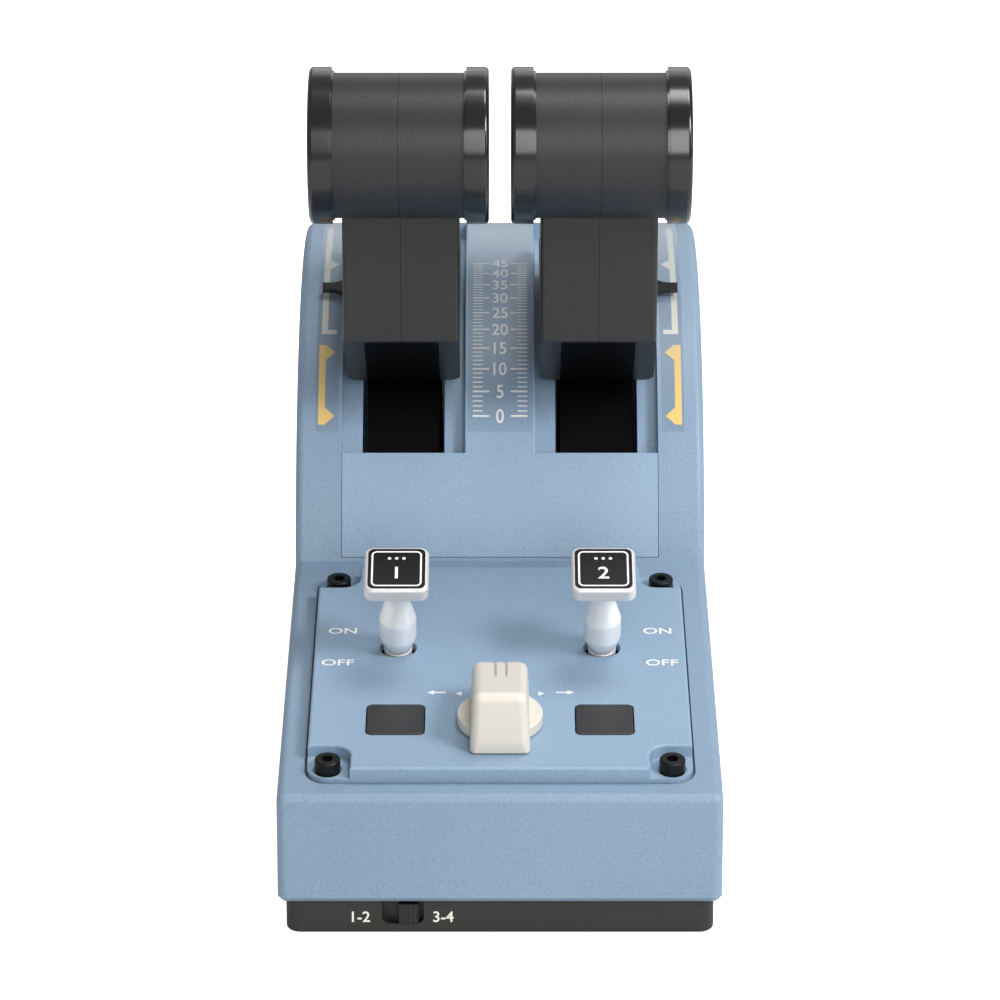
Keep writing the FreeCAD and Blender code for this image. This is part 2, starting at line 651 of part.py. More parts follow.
def hump_cover():
    """The curved cover between the casing's sides, with the scale strip up its middle."""
    piece = body("hump_cover")
    sketch = pivot_drawing(piece)
    band(sketch, "track_floor", "hump_radius", "(cover_low_angle + parting_turn)",
         "(cover_high_angle - parting_turn)")
    pad(piece, sketch, "2 * (cover_half_width - parting_gap)", side="Symmetric")
    for offset in ("cover_half_width + shell_wall", "-strip_half_width"):
        sketch = pivot_drawing(piece, offset)
        band(sketch, "(track_floor - track_depth)", "(hump_radius + track_depth)",
             "track_low_angle", "track_high_angle")
        pocket(piece, sketch, "cover_half_width + shell_wall - strip_half_width")
    radius, edge_x = value("hump_radius"), value("strip_half_width")
    dress(piece, "Fillet", "cover_edge_round", lambda edge: (
        edge.Curve.TypeId == "Part::GeomCircle" and near(edge.Curve.Radius, radius)
        and near(abs(edge.CenterOfMass.x), edge_x)))
    sketch = pivot_drawing(piece)
    band(sketch, "(track_floor - track_wall)", "(hump_radius - shell_wall)",
         "cover_low_angle + relief_turn", "track_low_angle - 2 * relief_turn")
    pocket(piece, sketch, "2 * (cover_half_width - skirt_wall)", side="Symmetric")
    sketch = pivot_drawing(piece)
    band(sketch, "(track_floor - track_wall)", "(hump_radius - shell_wall)",
         "track_low_angle - relief_turn", "track_high_angle")
    pocket(piece, sketch, "2 * (strip_half_width - track_wall)", side="Symmetric")
    return piece


def lever_tracks():
    """The sunk floor that each lever's stem passes through, one tray a side."""
    piece = body("lever_tracks")
    for sign, low in (("", "strip_half_width"), ("-", "-cover_half_width")):
        sketch = pivot_drawing(piece, low)
        band(sketch, "(track_floor - track_wall)", "track_floor",
             "(track_low_angle - relief_turn)", "(track_high_angle + relief_turn)")
        pad(piece, sketch, "cover_half_width - strip_half_width")
    for sign in SIDES.values():
        sketch = pivot_drawing(piece, f"{sign}lever_offset + slot_half_width")
        band(sketch, "(track_floor - 2 * track_wall)", "(track_floor + track_wall)",
             "track_low_angle", "slot_high_angle")
        pocket(piece, sketch, "2 * slot_half_width")
    return piece


# ---------------------------------------------------------------- control panel

def control_panel():
    piece = deck_body("control_panel")
    sketch = drawing(piece, "XY", "-shell_wall")
    panel_shape(sketch, "0")
    pad(piece, sketch, "panel_rise + shell_wall")
    sketch = drawing(piece, "XY", "panel_rise")
    for x in ("-", ""):
        for y, way in (("panel_front", "-"), ("panel_back", "+")):
            corner_notch(sketch, x, y, way)
    pocket(piece, sketch, "panel_rise - panel_flange")
    top = value("panel_rise")
    dress(piece, "Fillet", "panel_edge_round", lambda edge: near(edge.BoundBox.ZMin, top))
    sketch = drawing(piece, "XY", "-shell_wall")
    rectangle(sketch, "0", "panel_middle",
              "2 * (panel_half_width - notch_side - panel_wall)",
              "panel_back - panel_front - 2 * panel_wall")
    pocket(piece, sketch, "panel_rise - panel_wall + shell_wall", back=True)
    sketch = drawing(piece, "XY", "-shell_wall")
    rectangle(sketch, "0", "panel_middle", "2 * (panel_half_width - panel_wall)",
              "panel_back - panel_front - 2 * (notch_depth + panel_wall)")
    pocket(piece, sketch, "panel_rise - panel_wall + shell_wall", back=True)
    sketch = drawing(piece, "XY", "panel_rise - panel_wall")
    for x, y in board_post_places():
        circle(sketch, x, y, "panel_post_bore")
    pad(piece, sketch, "panel_rise - panel_wall + panel_board_drop", back=True)
    panel_holes(piece)
    return piece


def corner_notch(sketch, x, y, way):
    """A cut that lays one corner of the raised panel bare, with a round inner corner."""
    inner = f"{x}(panel_half_width - notch_side)"
    soft = f"{x}(panel_half_width - notch_side + notch_round)"
    outer = f"{x}(panel_half_width + panel_corner)"
    back = "-" if way == "+" else "+"
    deep = f"{y} {back} notch_depth"
    bend = f"{y} {back} (notch_depth - notch_round)"
    beyond = f"{y} {way} panel_corner"
    turn = 1 if (x == "") == (way == "+") else -1
    outline(sketch, [
        (outer, beyond), (inner, beyond), (inner, bend, "notch_round", turn),
        (soft, deep), (outer, deep),
    ])


def board_post_places():
    for x in ("-", ""):
        for y in ("-", "+"):
            yield (f"{x}(panel_board_width / 2 - panel_post_bore / 2)",
                   f"panel_middle {y} (panel_board_long / 2 - panel_post_bore / 2)")


def panel_holes(piece):
    sketch = drawing(piece, "XY", "panel_rise")
    for x in ("-", ""):
        circle(sketch, f"{x}toggle_offset", "toggle_along", "toggle_hole_bore")
        side = "(button_side + 2 * button_clearance)"
        rounded(sketch, f"{x}toggle_offset", "button_along", side, side,
                "(button_corner + button_clearance)")
    circle(sketch, "0", "selector_along", "selector_shaft_bore + 2 * button_clearance")
    pocket(piece, sketch, "2 * panel_wall")
    sketch = drawing(piece, "XY", "panel_rise")
    for x, y in panel_screw_places():
        circle(sketch, x, y, "screw_bore + 2 * button_clearance")
    pocket(piece, sketch)
    sketch = drawing(piece, "XY", "panel_rise")
    for x, y in panel_screw_places():
        circle(sketch, x, y, "screw_hole_bore")
    pocket(piece, sketch, "panel_rise - panel_flange + screw_sink")


def panel_screws():
    """Four socket cap screws that hold the panel down."""
    piece = deck_body("panel_screws")
    seat = "panel_flange - screw_sink"
    sketch = drawing(piece, "XY", seat)
    for x, y in panel_screw_places():
        circle(sketch, x, y, "screw_head_bore")
    pad(piece, sketch, "screw_head_tall")
    top = value(f"{seat} + screw_head_tall")
    dress(piece, "Fillet", "screw_head_round", lambda edge: near(edge.BoundBox.ZMin, top))
    sketch = drawing(piece, "XY", seat)
    for x, y in panel_screw_places():
        circle(sketch, x, y, "screw_bore")
    pad(piece, sketch, f"screw_reach + ({seat})", back=True)
    sketch = drawing(piece, "XY", f"{seat} + screw_head_tall")
    for x, y in panel_screw_places():
        hexagon(sketch, x, y, "screw_socket")
    pocket(piece, sketch, "screw_socket_deep")
    return piece


def hexagon(sketch, x, y, across):
    """A six-sided outline, given by its width across flats."""
    outline(sketch, [
        (f"{x} + {across} / sqrt(3) * cos({60 * step})", f"{y} + {across} / sqrt(3) * sin({60 * step})")
        for step in range(6)
    ])


def panel_board():
    piece = deck_body("panel_board")
    sketch = drawing(piece, "XY", "-panel_board_drop - board_thick")
    rectangle(sketch, "0", "panel_middle", "panel_board_width", "panel_board_long")
    pad(piece, sketch, "board_thick")
    return piece


def board_switches():
    """The switches that stand on the panel board."""
    toggles = deck_body("toggle_switches")
    sketch = drawing(toggles, "XY", "-panel_board_drop")
    for x in ("-", ""):
        rectangle(sketch, f"{x}toggle_offset", "toggle_along", "switch_side", "switch_side")
    pad(toggles, sketch, "switch_tall")
    sketch = drawing(toggles, "XY", "switch_tall - panel_board_drop")
    for x in ("-", ""):
        circle(sketch, f"{x}toggle_offset", "toggle_along", "bushing_bore")
    pad(toggles, sketch, "bushing_tall")
    sketch = drawing(toggles, "XY", "switch_tall - panel_board_drop + bushing_tall")
    for x in ("-", ""):
        circle(sketch, f"{x}toggle_offset", "toggle_along", "bushing_bore - 2 * bushing_wall")
    pocket(toggles, sketch, "bushing_tall + bushing_sink")
    rotary = deck_body("rotary_switch")
    sketch = drawing(rotary, "XY", "-panel_board_drop")
    rectangle(sketch, "0", "selector_along", "rotary_side", "rotary_side")
    pad(rotary, sketch, "rotary_tall")
    sketch = drawing(rotary, "XY", "rotary_tall - panel_board_drop")
    circle(sketch, "0", "selector_along", "selector_shaft_bore + 2 * running_gap")
    pocket(rotary, sketch, "rotary_tall / 2")
    tacts = deck_body("tact_switches")
    sketch = drawing(tacts, "XY", "-panel_board_drop")
    for x in ("-", ""):
        rectangle(sketch, f"{x}toggle_offset", "button_along", "tact_side", "tact_side")
    pad(tacts, sketch, "tact_tall")


def push_button(side, sign):
    piece = deck_body(f"push_button_{side}", f"{sign}toggle_offset", "button_along")
    sketch = drawing(piece, "XY", "panel_rise + button_proud - button_tall")
    rounded(sketch, "0", "0", "button_side", "button_side", "button_corner")
    pad(piece, sketch, "button_tall")
    top = value("panel_rise + button_proud")
    dress(piece, "Fillet", "button_edge_round", lambda edge: near(edge.BoundBox.ZMin, top))
    sketch = drawing(piece, "XY", "panel_rise + button_proud - button_tall")
    circle(sketch, "0", "0", "button_stem_bore")
    foot = "(tact_tall - panel_board_drop + button_travel + button_clearance)"
    pad(piece, sketch, f"panel_rise + button_proud - button_tall - {foot}", back=True)
    return piece


def selector():
    level = "panel_rise + selector_float"
    knob = deck_body("selector_knob", "0", "selector_along", level)
    sketch = drawing(knob, "XY")
    circle(sketch, "0", "0", "selector_disc_bore")
    pad(knob, sketch, "selector_disc_thick")
    disc_top = value("selector_disc_thick")
    dress(knob, "Fillet", "selector_disc_round", lambda edge: near(edge.BoundBox.ZMin, disc_top))
    sketch = drawing(knob, "XZ", "grip_ahead")
    outline(sketch, [
        ("-grip_width / 2", "0"), ("grip_width / 2", "0"),
        ("grip_width / 2 - grip_draft", "grip_front_tall"),
        ("grip_draft - grip_width / 2", "grip_front_tall"),
    ])
    pad(knob, sketch, "grip_ahead + grip_behind", back=True)
    sketch = drawing(knob, "YZ")
    outline(sketch, [
        ("-grip_ahead", "selector_disc_thick"), ("grip_front_lean - grip_ahead", "grip_front_tall"),
        ("grip_behind", "grip_back_tall"), ("grip_behind", "2 * grip_front_tall"),
        ("-grip_ahead - grip_round", "2 * grip_front_tall"),
        ("-grip_ahead - grip_round", "selector_disc_thick"),
    ])
    pocket(knob, sketch, "2 * grip_width", side="Symmetric")
    dress(knob, "Fillet", "grip_round", grip_edge)
    slope = "(grip_front_tall - grip_back_tall) / (grip_ahead + grip_behind - grip_front_lean)"
    for x in ("-", ""):
        sketch = drawing(knob, "YZ", f"{x}groove_pitch / 2")
        outline(sketch, [
            ("grip_behind - groove_long", f"grip_back_tall + groove_long * {slope} - groove_deep"),
            ("grip_behind + groove_width", f"grip_back_tall - groove_width * {slope} - groove_deep"),
            ("grip_behind + groove_width", "grip_front_tall"),
            ("grip_behind - groove_long", "grip_front_tall"),
        ])
        pocket(knob, sketch, "groove_width", side="Symmetric")
    shaft = deck_body("selector_shaft", "0", "selector_along", level)
    sketch = drawing(shaft, "XY")
    circle(sketch, "0", "0", "selector_shaft_bore")
    pad(shaft, sketch, f"{level} + panel_board_drop - rotary_tall / 2 - running_gap", back=True)


def grip_edge(edge):
    """The grip's top edges and the upright ones at its ends, but none of the disc's."""
    box = edge.BoundBox
    if box.ZMax < value("selector_disc_thick") + 1:
        return False
    beyond = value("selector_disc_bore") / 2 - 0.5
    return box.ZMin > value("selector_disc_thick") + 1 or box.YMax < -beyond or box.YMin > beyond


def toggle(side, sign):
    """One toggle: a turned stem on a cross barrel, a square cap and the plate let into it."""
    place_args = (f"{sign}toggle_offset", "toggle_along", "panel_rise - toggle_pivot_depth", "toggle_lean")
    stem = deck_body(f"toggle_stem_{side}", *place_args)
    reach = "(toggle_top + toggle_pivot_depth)"
    sketch = drawing(stem, "XZ")
    outline(sketch, [
        ("0", "-toggle_collar_tall / 2"), ("toggle_collar_bore / 2", "-toggle_collar_tall / 2"),
        ("toggle_collar_bore / 2", "toggle_collar_tall"),
        ("toggle_root_bore / 2", "toggle_collar_tall"),
        ("toggle_waist_bore / 2", "toggle_waist_low"), ("toggle_waist_bore / 2", "toggle_waist_high"),
        ("toggle_neck_bore / 2", "toggle_neck_low"),
        ("toggle_neck_bore / 2", f"{reach} - toggle_cap_thick"),
        ("0", f"{reach} - toggle_cap_thick"),
    ])
    revolve(stem, sketch)
    sketch = drawing(stem, "YZ")
    circle(sketch, "0", "0", "toggle_barrel_bore")
    pad(stem, sketch, "toggle_barrel_long", side="Symmetric")
    waist, low, high = value("toggle_waist_bore / 2"), value("toggle_waist_low"), value("toggle_neck_low")
    dress(stem, "Fillet", "toggle_stem_round", lambda edge: (
        low - 0.1 < edge.BoundBox.ZMin < high + 0.1 and near(edge.BoundBox.ZLength, 0)
        and edge.BoundBox.XMax > waist / 2))
    cap = deck_body(f"toggle_cap_{side}", *place_args)
    sketch = drawing(cap, "XY", f"{reach} - toggle_cap_thick")
    rounded(sketch, "0", "0", "toggle_cap_side", "toggle_cap_side", "toggle_cap_round")
    pad(cap, sketch, "toggle_cap_thick")
    top = value(reach)
    bottom = value(f"{reach} - toggle_cap_thick")
    dress(cap, "Fillet", "toggle_edge_round", lambda edge: near(edge.BoundBox.ZMin, top)
          or near(edge.BoundBox.ZMin, bottom))
    sketch = drawing(cap, "XY", reach)
    rounded(sketch, "0", "0", "legend_side", "legend_side", "legend_round")
    pocket(cap, sketch, "legend_thick")
    legend = deck_body(f"toggle_legend_{side}", *place_args)
    sketch = drawing(legend, "XY", f"{reach} - legend_thick")
    rounded(sketch, "0", "0", "legend_side", "legend_side", "legend_round")
    pad(legend, sketch, "legend_thick")


def slide_switch():
    """The small slide switch in the front of the tray, and its ribbed thumb piece."""
    housing = body("mode_switch")
    sketch = drawing(housing, "XY", "foot_drop + tray_floor")
    rectangle(sketch, "-slide_offset", "slide_body_deep / 2 - tray_half_length + tray_wall",
              "slide_body_width", "slide_body_deep")
    pad(housing, sketch, "slide_thumb_tall + slide_body_margin")
    thumb = body("mode_slider")
    sketch = drawing(thumb, "XY", "foot_drop + slide_window_rise + button_clearance")
    rectangle(sketch, "-slide_offset + slide_rest_shift",
              "(tray_wall - slide_thumb_proud - running_gap) / 2 - tray_half_length",
              "slide_thumb_width", "tray_wall + slide_thumb_proud - running_gap")
    pad(thumb, sketch, "slide_thumb_tall")
    sketch = drawing(thumb, "XY", "foot_drop + slide_window_rise + button_clearance")
    for step in range(-2, 3):
        rectangle(sketch, f"-slide_offset + slide_rest_shift + {step} * slide_rib_pitch",
                  "-tray_half_length - slide_thumb_proud",
                  "slide_rib_pitch / 2", "slide_thumb_proud")
    pocket(thumb, sketch, "slide_thumb_tall", back=True)


# ---------------------------------------------------------------- pivot and ports

def pivot_brackets():
    piece = body("pivot_brackets")
    for middle in ("-bracket_spread", "0", "bracket_spread"):
        sketch = pivot_drawing(piece, f"{middle} - bracket_width / 2")
        foot = "tray_floor + foot_drop - pivot_height"
        outline(sketch, [
            ("-bracket_foot / 2", foot), ("bracket_foot / 2", foot),
            ("bracket_foot / 2", f"{foot} + bracket_step"), ("bracket_head", "0"),
            ("-bracket_head", "0"), ("-bracket_foot / 2", f"{foot} + bracket_step"),
        ])
        pad(piece, sketch, "bracket_width")
        sketch = pivot_drawing(piece, f"{middle} - bracket_width / 2")
        circle(sketch, "0", "0", "2 * bracket_head")
        pad(piece, sketch, "bracket_width")
    sketch = pivot_drawing(piece)
    circle(sketch, "0", "0", "shaft_bore")
    pocket(piece, sketch, "case_width", side="Symmetric")
    return piece


def rod(label, spans, bore, hole=None):
    """Round pieces on the pivot axis, each from one place along X to another."""
    piece = body(label)
    for start, end in spans:
        sketch = pivot_drawing(piece, start)
        circle(sketch, "0", "0", bore)
        if hole:
            circle(sketch, "0", "0", hole)
        pad(piece, sketch, f"{end} - ({start})")
    return piece


def pivot_parts():
    shaft_end = "(bracket_spread + bracket_width / 2 + nut_tall)"
    rod("pivot_shaft", [(f"-{shaft_end}", shaft_end)], "shaft_bore")
    rod("shaft_nuts", [
        (f"-{shaft_end}", f"(nut_tall - {shaft_end})"), (f"({shaft_end} - nut_tall)", shaft_end),
    ], "nut_across", "shaft_bore")
    inner = "(lever_offset - arm_width / 2 - running_gap)"
    outer = "(lever_offset + arm_width / 2 + running_gap)"
    rod("friction_washers", [
        (f"-({outer} + washer_thick)", f"(-{outer})"), (f"-{inner}", f"(washer_thick - {inner})"),
        (f"({inner} - washer_thick)", inner), (outer, f"({outer} + washer_thick)"),
    ], "washer_bore", "shaft_bore")
    bracket_inner = "(bracket_spread - bracket_width / 2)"
    rod("shaft_spacers", [
        (f"-{bracket_inner}", f"-({outer} + washer_thick)"),
        (f"(washer_thick - {inner})", "-bracket_width / 2"),
        ("bracket_width / 2", f"({inner} - washer_thick)"),
        (f"({outer} + washer_thick)", bracket_inner),
    ], "spacer_bore", "shaft_bore")


def detents():
    """A sprung plunger ahead of each hub, in a block that stands on the tray."""
    hub_face = "(pivot_y - hub_radius - button_clearance)"
    block = body("detent_housings")
    sketch = drawing(block, "XY", "foot_drop + tray_floor")
    for x in ("-", ""):
        rectangle(sketch, f"{x}lever_offset", f"{hub_face} - plunger_tall / 2 - detent_deep / 2",
                  "detent_wide", "detent_deep")
    pad(block, sketch, "pivot_height + plunger_bore - foot_drop - tray_floor")
    sketch = drawing(block, "XZ", f"-({hub_face})")
    for x in ("-", ""):
        circle(sketch, f"{x}lever_offset", "pivot_height", "plunger_bore")
    pocket(block, sketch, "plunger_tall + spring_long", back=True)
    plungers = body("detent_plungers")
    sketch = drawing(plungers, "XZ", f"-({hub_face})")
    for x in ("-", ""):
        circle(sketch, f"{x}lever_offset", "pivot_height", "plunger_bore")
    pad(plungers, sketch, "plunger_tall")
    dress(plungers, "Fillet", "plunger_round",
          lambda edge: near(edge.BoundBox.YMin, value(hub_face)))
    springs = body("detent_springs")
    sketch = drawing(springs, "XZ", f"plunger_tall - ({hub_face})")
    for x in ("-", ""):
        circle(sketch, f"{x}lever_offset", "pivot_height", "spring_bore")
        circle(sketch, f"{x}lever_offset", "pivot_height", "spring_bore - 2 * spring_wire")
    pad(springs, sketch, "spring_long")


def ports():
    usb = body("usb_port")
    sketch = drawing(usb, "XZ", "-(half_length - port_sink)")
    rectangle(sketch, "usb_offset", "port_z", "usb_width", "usb_tall")
    pad(usb, sketch, "usb_deep")
    sketch = drawing(usb, "XZ", "-(half_length - port_sink)")
    rectangle(sketch, "usb_offset", "port_z", "usb_width - 2 * port_wall", "usb_tall - 2 * port_wall")
    rectangle(sketch, "usb_offset", "port_z", "usb_width / 2", "usb_tall / 3")
    pocket(usb, sketch, "usb_deep - port_wall", back=True)


# ---------------------------------------------------------------- levers

def neck_corners():
    """The neck seen from the side, about the pivot: nose, foot, tail and back."""
    return [
        ("-(neck_nose_out + neck_front_lean)", "barrel_up - barrel_wall * 4"),
        ("-neck_nose_out", "neck_nose_up"),
        (*on_arc("neck_foot", "neck_foot_angle"), "neck_foot", -1),
        on_arc("neck_foot", "neck_tail_angle"),
        (*on_arc("(neck_foot + neck_tail_tall)", "neck_tail_angle"), "neck_back_curve", -1),
        ("-neck_back_out", "neck_back_up"),
        ("-neck_back_out - neck_back_long * sin(neck_back_lean)",
         "neck_back_up + neck_back_long * cos(neck_back_lean)"),
    ]


def neck_hollow():
    """The space inside the neck, one wall in from its outside."""
    return [
        ("-(neck_nose_out - neck_wall)", "barrel_up"),
        ("-(neck_nose_out - neck_wall)", "neck_nose_up + neck_wall / 2"),
        (*on_arc("(neck_foot + neck_wall)", "neck_foot_angle"), "(neck_foot + neck_wall)", -1),
        on_arc("(neck_foot + neck_wall)", "(neck_tail_angle - 4 * relief_turn)"),
        ("-(neck_back_out + neck_wall)", "neck_back_up - neck_wall / 2"),
        ("-neck_back_out - neck_wall - neck_back_long * sin(neck_back_lean)",
         "neck_back_up + neck_back_long * cos(neck_back_lean)"),
    ]


def nose_corners():
    """The wedge of the arm that fills the underside of the neck."""
    return [
        ("-(neck_nose_out - nose_inset)", "neck_nose_up - nose_inset * nose_slope"),
        (*on_arc("neck_foot", "neck_foot_angle"), "neck_foot", -1),
        on_arc("neck_foot", "stem_high_angle"),
        on_arc("(neck_foot + neck_wall)", "stem_high_angle"),
        ("-neck_back_out", "neck_nose_up + nose_tall"),
        ("-(neck_nose_out - nose_inset)", "neck_nose_up + nose_tall"),
    ]


def lever_arm(side, sign):
    """The hub on the shaft, the stem through the slot and the skirt that closes it."""
    piece = lever_body(f"lever_arm_{side}", sign)
    sketch = drawing(piece, "YZ")
    circle(sketch, "0", "0", "2 * hub_radius")
    pad(piece, sketch, "arm_width", side="Symmetric")
    sketch = drawing(piece, "YZ")
    outline(sketch, [
        on_arc("hub_radius / 2", "stem_low_angle"), on_arc("(neck_foot + neck_wall)", "stem_low_angle"),
        on_arc("(neck_foot + neck_wall)", "stem_high_angle"), on_arc("hub_radius / 2", "stem_high_angle"),
    ])
    pad(piece, sketch, "arm_width", side="Symmetric")
    sketch = drawing(piece, "YZ")
    band(sketch, "(skirt_radius - skirt_thick)", "skirt_radius", "skirt_low_angle", "stem_high_angle")
    pad(piece, sketch, "arm_width", side="Symmetric")
    sketch = drawing(piece, "YZ")
    outline(sketch, nose_corners())
    pad(piece, sketch, "arm_width", side="Symmetric")
    sketch = drawing(piece, "YZ")
    circle(sketch, "0", "0", "shaft_bore + 2 * running_gap")
    pocket(piece, sketch, "2 * arm_width", side="Symmetric")
    sketch = drawing(piece, "XY", "-hub_radius")
    circle(sketch, "0", "0", "magnet_bore")
    pocket(piece, sketch, "magnet_thick + magnet_sink", back=True)
    magnet = lever_body(f"hub_magnet_{side}", sign)
    sketch = drawing(magnet, "XY", "magnet_sink - hub_radius")
    circle(sketch, "0", "0", "magnet_bore")
    pad(magnet, sketch, "magnet_thick")


def half_shell(label, sign, away, outer):
    """Half of a handle. Away is the direction, + or -, in which this half lies."""
    piece = lever_body(label, sign)
    seam = "seam_gap / 2" if away > 0 else "-seam_gap / 2"
    back = away < 0
    sketch = drawing(piece, "YZ", seam)
    outline(sketch, neck_corners())
    pad(piece, sketch, "neck_width / 2 - seam_gap / 2", back=back)
    round_neck(piece)
    sketch = drawing(piece, "YZ", seam)
    circle(sketch, "-barrel_out", "barrel_up", "barrel_bore")
    pad(piece, sketch, "barrel_width / 2 - seam_gap / 2", back=back)
    sketch = drawing(piece, "YZ", seam)
    outline(sketch, neck_hollow())
    pocket(piece, sketch, "neck_width / 2 - neck_wall", back=not back)
    sketch = drawing(piece, "YZ", seam)
    circle(sketch, "-barrel_out", "barrel_up", "barrel_bore - 2 * barrel_wall")
    pocket(piece, sketch, "barrel_width", back=not back)
    sketch = drawing(piece, "YZ", seam)
    outline(sketch, nose_corners())
    pocket(piece, sketch, "arm_width / 2 - seam_gap / 2", back=not back)
    shell_bosses(piece, seam, back, outer)
    latch_slot(piece)
    return piece


def round_neck(piece):
    """Round the flank's edge along the foot, then along the front and the back."""
    flank, nose_up = value("neck_width / 2"), value("neck_nose_up")
    barrel_low = value("barrel_up - barrel_bore / 2")

    def at_foot(edge):
        box = edge.BoundBox
        return near(abs(edge.CenterOfMass.x), flank) and box.ZMin < nose_up - 1 \
            and box.YMax > value("-neck_nose_out / 2")

    def upright(edge):
        box = edge.BoundBox
        return near(abs(edge.CenterOfMass.x), flank) and box.DiagonalLength > 10 \
            and nose_up - 0.1 < box.ZMin < barrel_low

    dress(piece, "Fillet", "neck_foot_round", at_foot)
    dress(piece, "Fillet", "neck_edge_round", upright)


def shell_bosses(piece, seam, back, outer):
    """Two screw bosses. The head seat is in the half that faces the other lever."""
    sketch = drawing(piece, "YZ", seam)
    for y, z in handle_screw_places():
        circle(sketch, y, z, "handle_boss_bore")
    pad(piece, sketch, "neck_width / 2 - neck_wall / 2 - seam_gap / 2", back=back)
    sketch = drawing(piece, "YZ", seam)
    for y, z in handle_screw_places():
        circle(sketch, y, z, "handle_screw_bore")
    depth = "neck_width / 2 - neck_wall" if outer else "neck_width"
    pocket(piece, sketch, depth, back=not back)
    if outer:
        return
    seat = "(neck_width / 2 - handle_screw_sink)"
    sketch = drawing(piece, "YZ", f"-{seat}" if back else seat)
    for y, z in handle_screw_places():
        circle(sketch, y, z, "handle_screw_head")
    pocket(piece, sketch, "neck_width", back=not back)


def handle_screw_places():
    yield "-(neck_nose_out - handle_screw_inset)", "neck_nose_up + nose_tall + handle_screw_inset"
    yield "-(neck_back_out + handle_screw_inset)", "neck_back_up + handle_screw_inset / 2"


def latch_slot(piece):
    """The slot in the neck's back that the latch's tongue slides in."""
    sketch = drawing(piece, "XY", "neck_back_up", "0", "-neck_back_out", "neck_back_lean - 90")
    long = "(latch_tongue_long + latch_travel + 2 * button_clearance)"
    rectangle(sketch, "0", f"-(latch_low - button_clearance + {long} / 2)",
              "latch_tongue_wide + 2 * button_clearance", long)
    pocket(piece, sketch, "2 * neck_wall", side="Symmetric")


def reverse_latch(side, sign):
    """The finger latch on the far side of the neck, which slides up."""
    lean = "neck_back_lean"
    piece = body(f"reverse_latch_{side}", f"{sign}lever_offset", "pivot_y - neck_back_out",
                 "pivot_height + neck_back_up", lean)
    sketch = drawing(piece, "YZ")
    low = "(latch_low - latch_overlap)"
    outline(sketch, [
        ("button_clearance", low), ("latch_thick", low),
        ("latch_thick + latch_reach", f"{low} + latch_lip"),
        ("latch_thick + latch_reach", f"{low} + latch_lip + latch_thick * 2 / 3"),
        ("latch_thick", f"{low} + latch_lip * 2"), ("latch_thick", f"{low} + latch_plate"),
        ("button_clearance", f"{low} + latch_plate"),
    ])
    pad(piece, sketch, "latch_width", side="Symmetric")
    dress(piece, "Fillet", "latch_round",
          lambda edge: along(edge, 0) and edge.BoundBox.YMin > value("latch_thick") + 1)
    sketch = drawing(piece, "YZ")
    outline(sketch, [
        ("latch_thick / 2", "latch_low"), ("latch_thick / 2", "latch_low + latch_tongue_long"),
        ("-neck_wall", "latch_low + latch_tongue_long"), ("-neck_wall", "latch_low"),
    ])
    pad(piece, sketch, "latch_tongue_wide", side="Symmetric")
    return piece


def barrel_piece(label, sign, profiles):
    """Turned pieces on the barrel's axis. Each profile runs (distance along X, radius)."""
    piece = body(label, f"{sign}lever_offset", "pivot_y - barrel_out", "pivot_height + barrel_up")
    for profile in profiles:
        sketch = drawing(piece, "XZ")
        outline(sketch, profile)
        revolve(piece, sketch, "H_Axis")
    return piece


def handle_flanges(side, sign):
    """The two glossy flanges that stand on the ends of the barrel."""
    profiles = []
    for way in ("-", ""):
        near_end, far_end = f"{way}barrel_width / 2", f"{way}(barrel_width / 2 + flange_width)"
        lip_end = f"{way}(barrel_width / 2 + flange_lip)"
        web_end = f"{way}(barrel_width / 2 + flange_web)"
        profiles.append([
            (near_end, "flange_hollow / 2 - flange_web"), (web_end, "flange_hollow / 2 - flange_web"),
            (web_end, "flange_hollow / 2"), (far_end, "flange_hollow / 2"),
            (far_end, "flange_bore / 2"), (lip_end, "flange_bore / 2"),
            (lip_end, "flange_lip_bore / 2"), (near_end, "flange_lip_bore / 2"),
        ])
    piece = barrel_piece(f"handle_flanges_{side}", sign, profiles)
    rim, end = value("flange_bore / 2"), value("barrel_width / 2 + flange_width")
    dress(piece, "Fillet", "flange_round", lambda edge: near(edge.BoundBox.ZMax, rim)
          and near(abs(edge.CenterOfMass.x), end))
    return piece


def handle_caps(side, sign):
    """The discs that close the flanges. The outer one has the disconnect button's hole."""
    profiles = []
    outer_way = sign
    for way in ("-", ""):
        hole = "disconnect_bore / 2 + button_clearance" if way == outer_way else "0"
        seat = f"{way}(barrel_width / 2 + flange_web)"
        face = f"{way}(barrel_width / 2 + flange_width - cap_sink)"
        rim = "flange_hollow / 2 - cap_clearance"
        profiles.append([(seat, hole), (face, hole), (face, rim), (seat, rim)])
    return barrel_piece(f"handle_caps_{side}", sign, profiles)


def disconnect_button(side, sign):
    way = sign
    inner = f"{way}(barrel_width / 2 - flange_web)"
    skirt = f"{way}(barrel_width / 2 + flange_web - disconnect_travel - button_clearance)"
    face = f"{way}(barrel_width / 2 + flange_width - disconnect_sink)"
    return barrel_piece(f"disconnect_button_{side}", sign, [[
        (inner, "0"), (face, "0"), (face, "disconnect_bore / 2"), (skirt, "disconnect_bore / 2"),
        (skirt, "disconnect_bore / 2 + flange_lip"), (inner, "disconnect_bore / 2 + flange_lip"),
    ]])


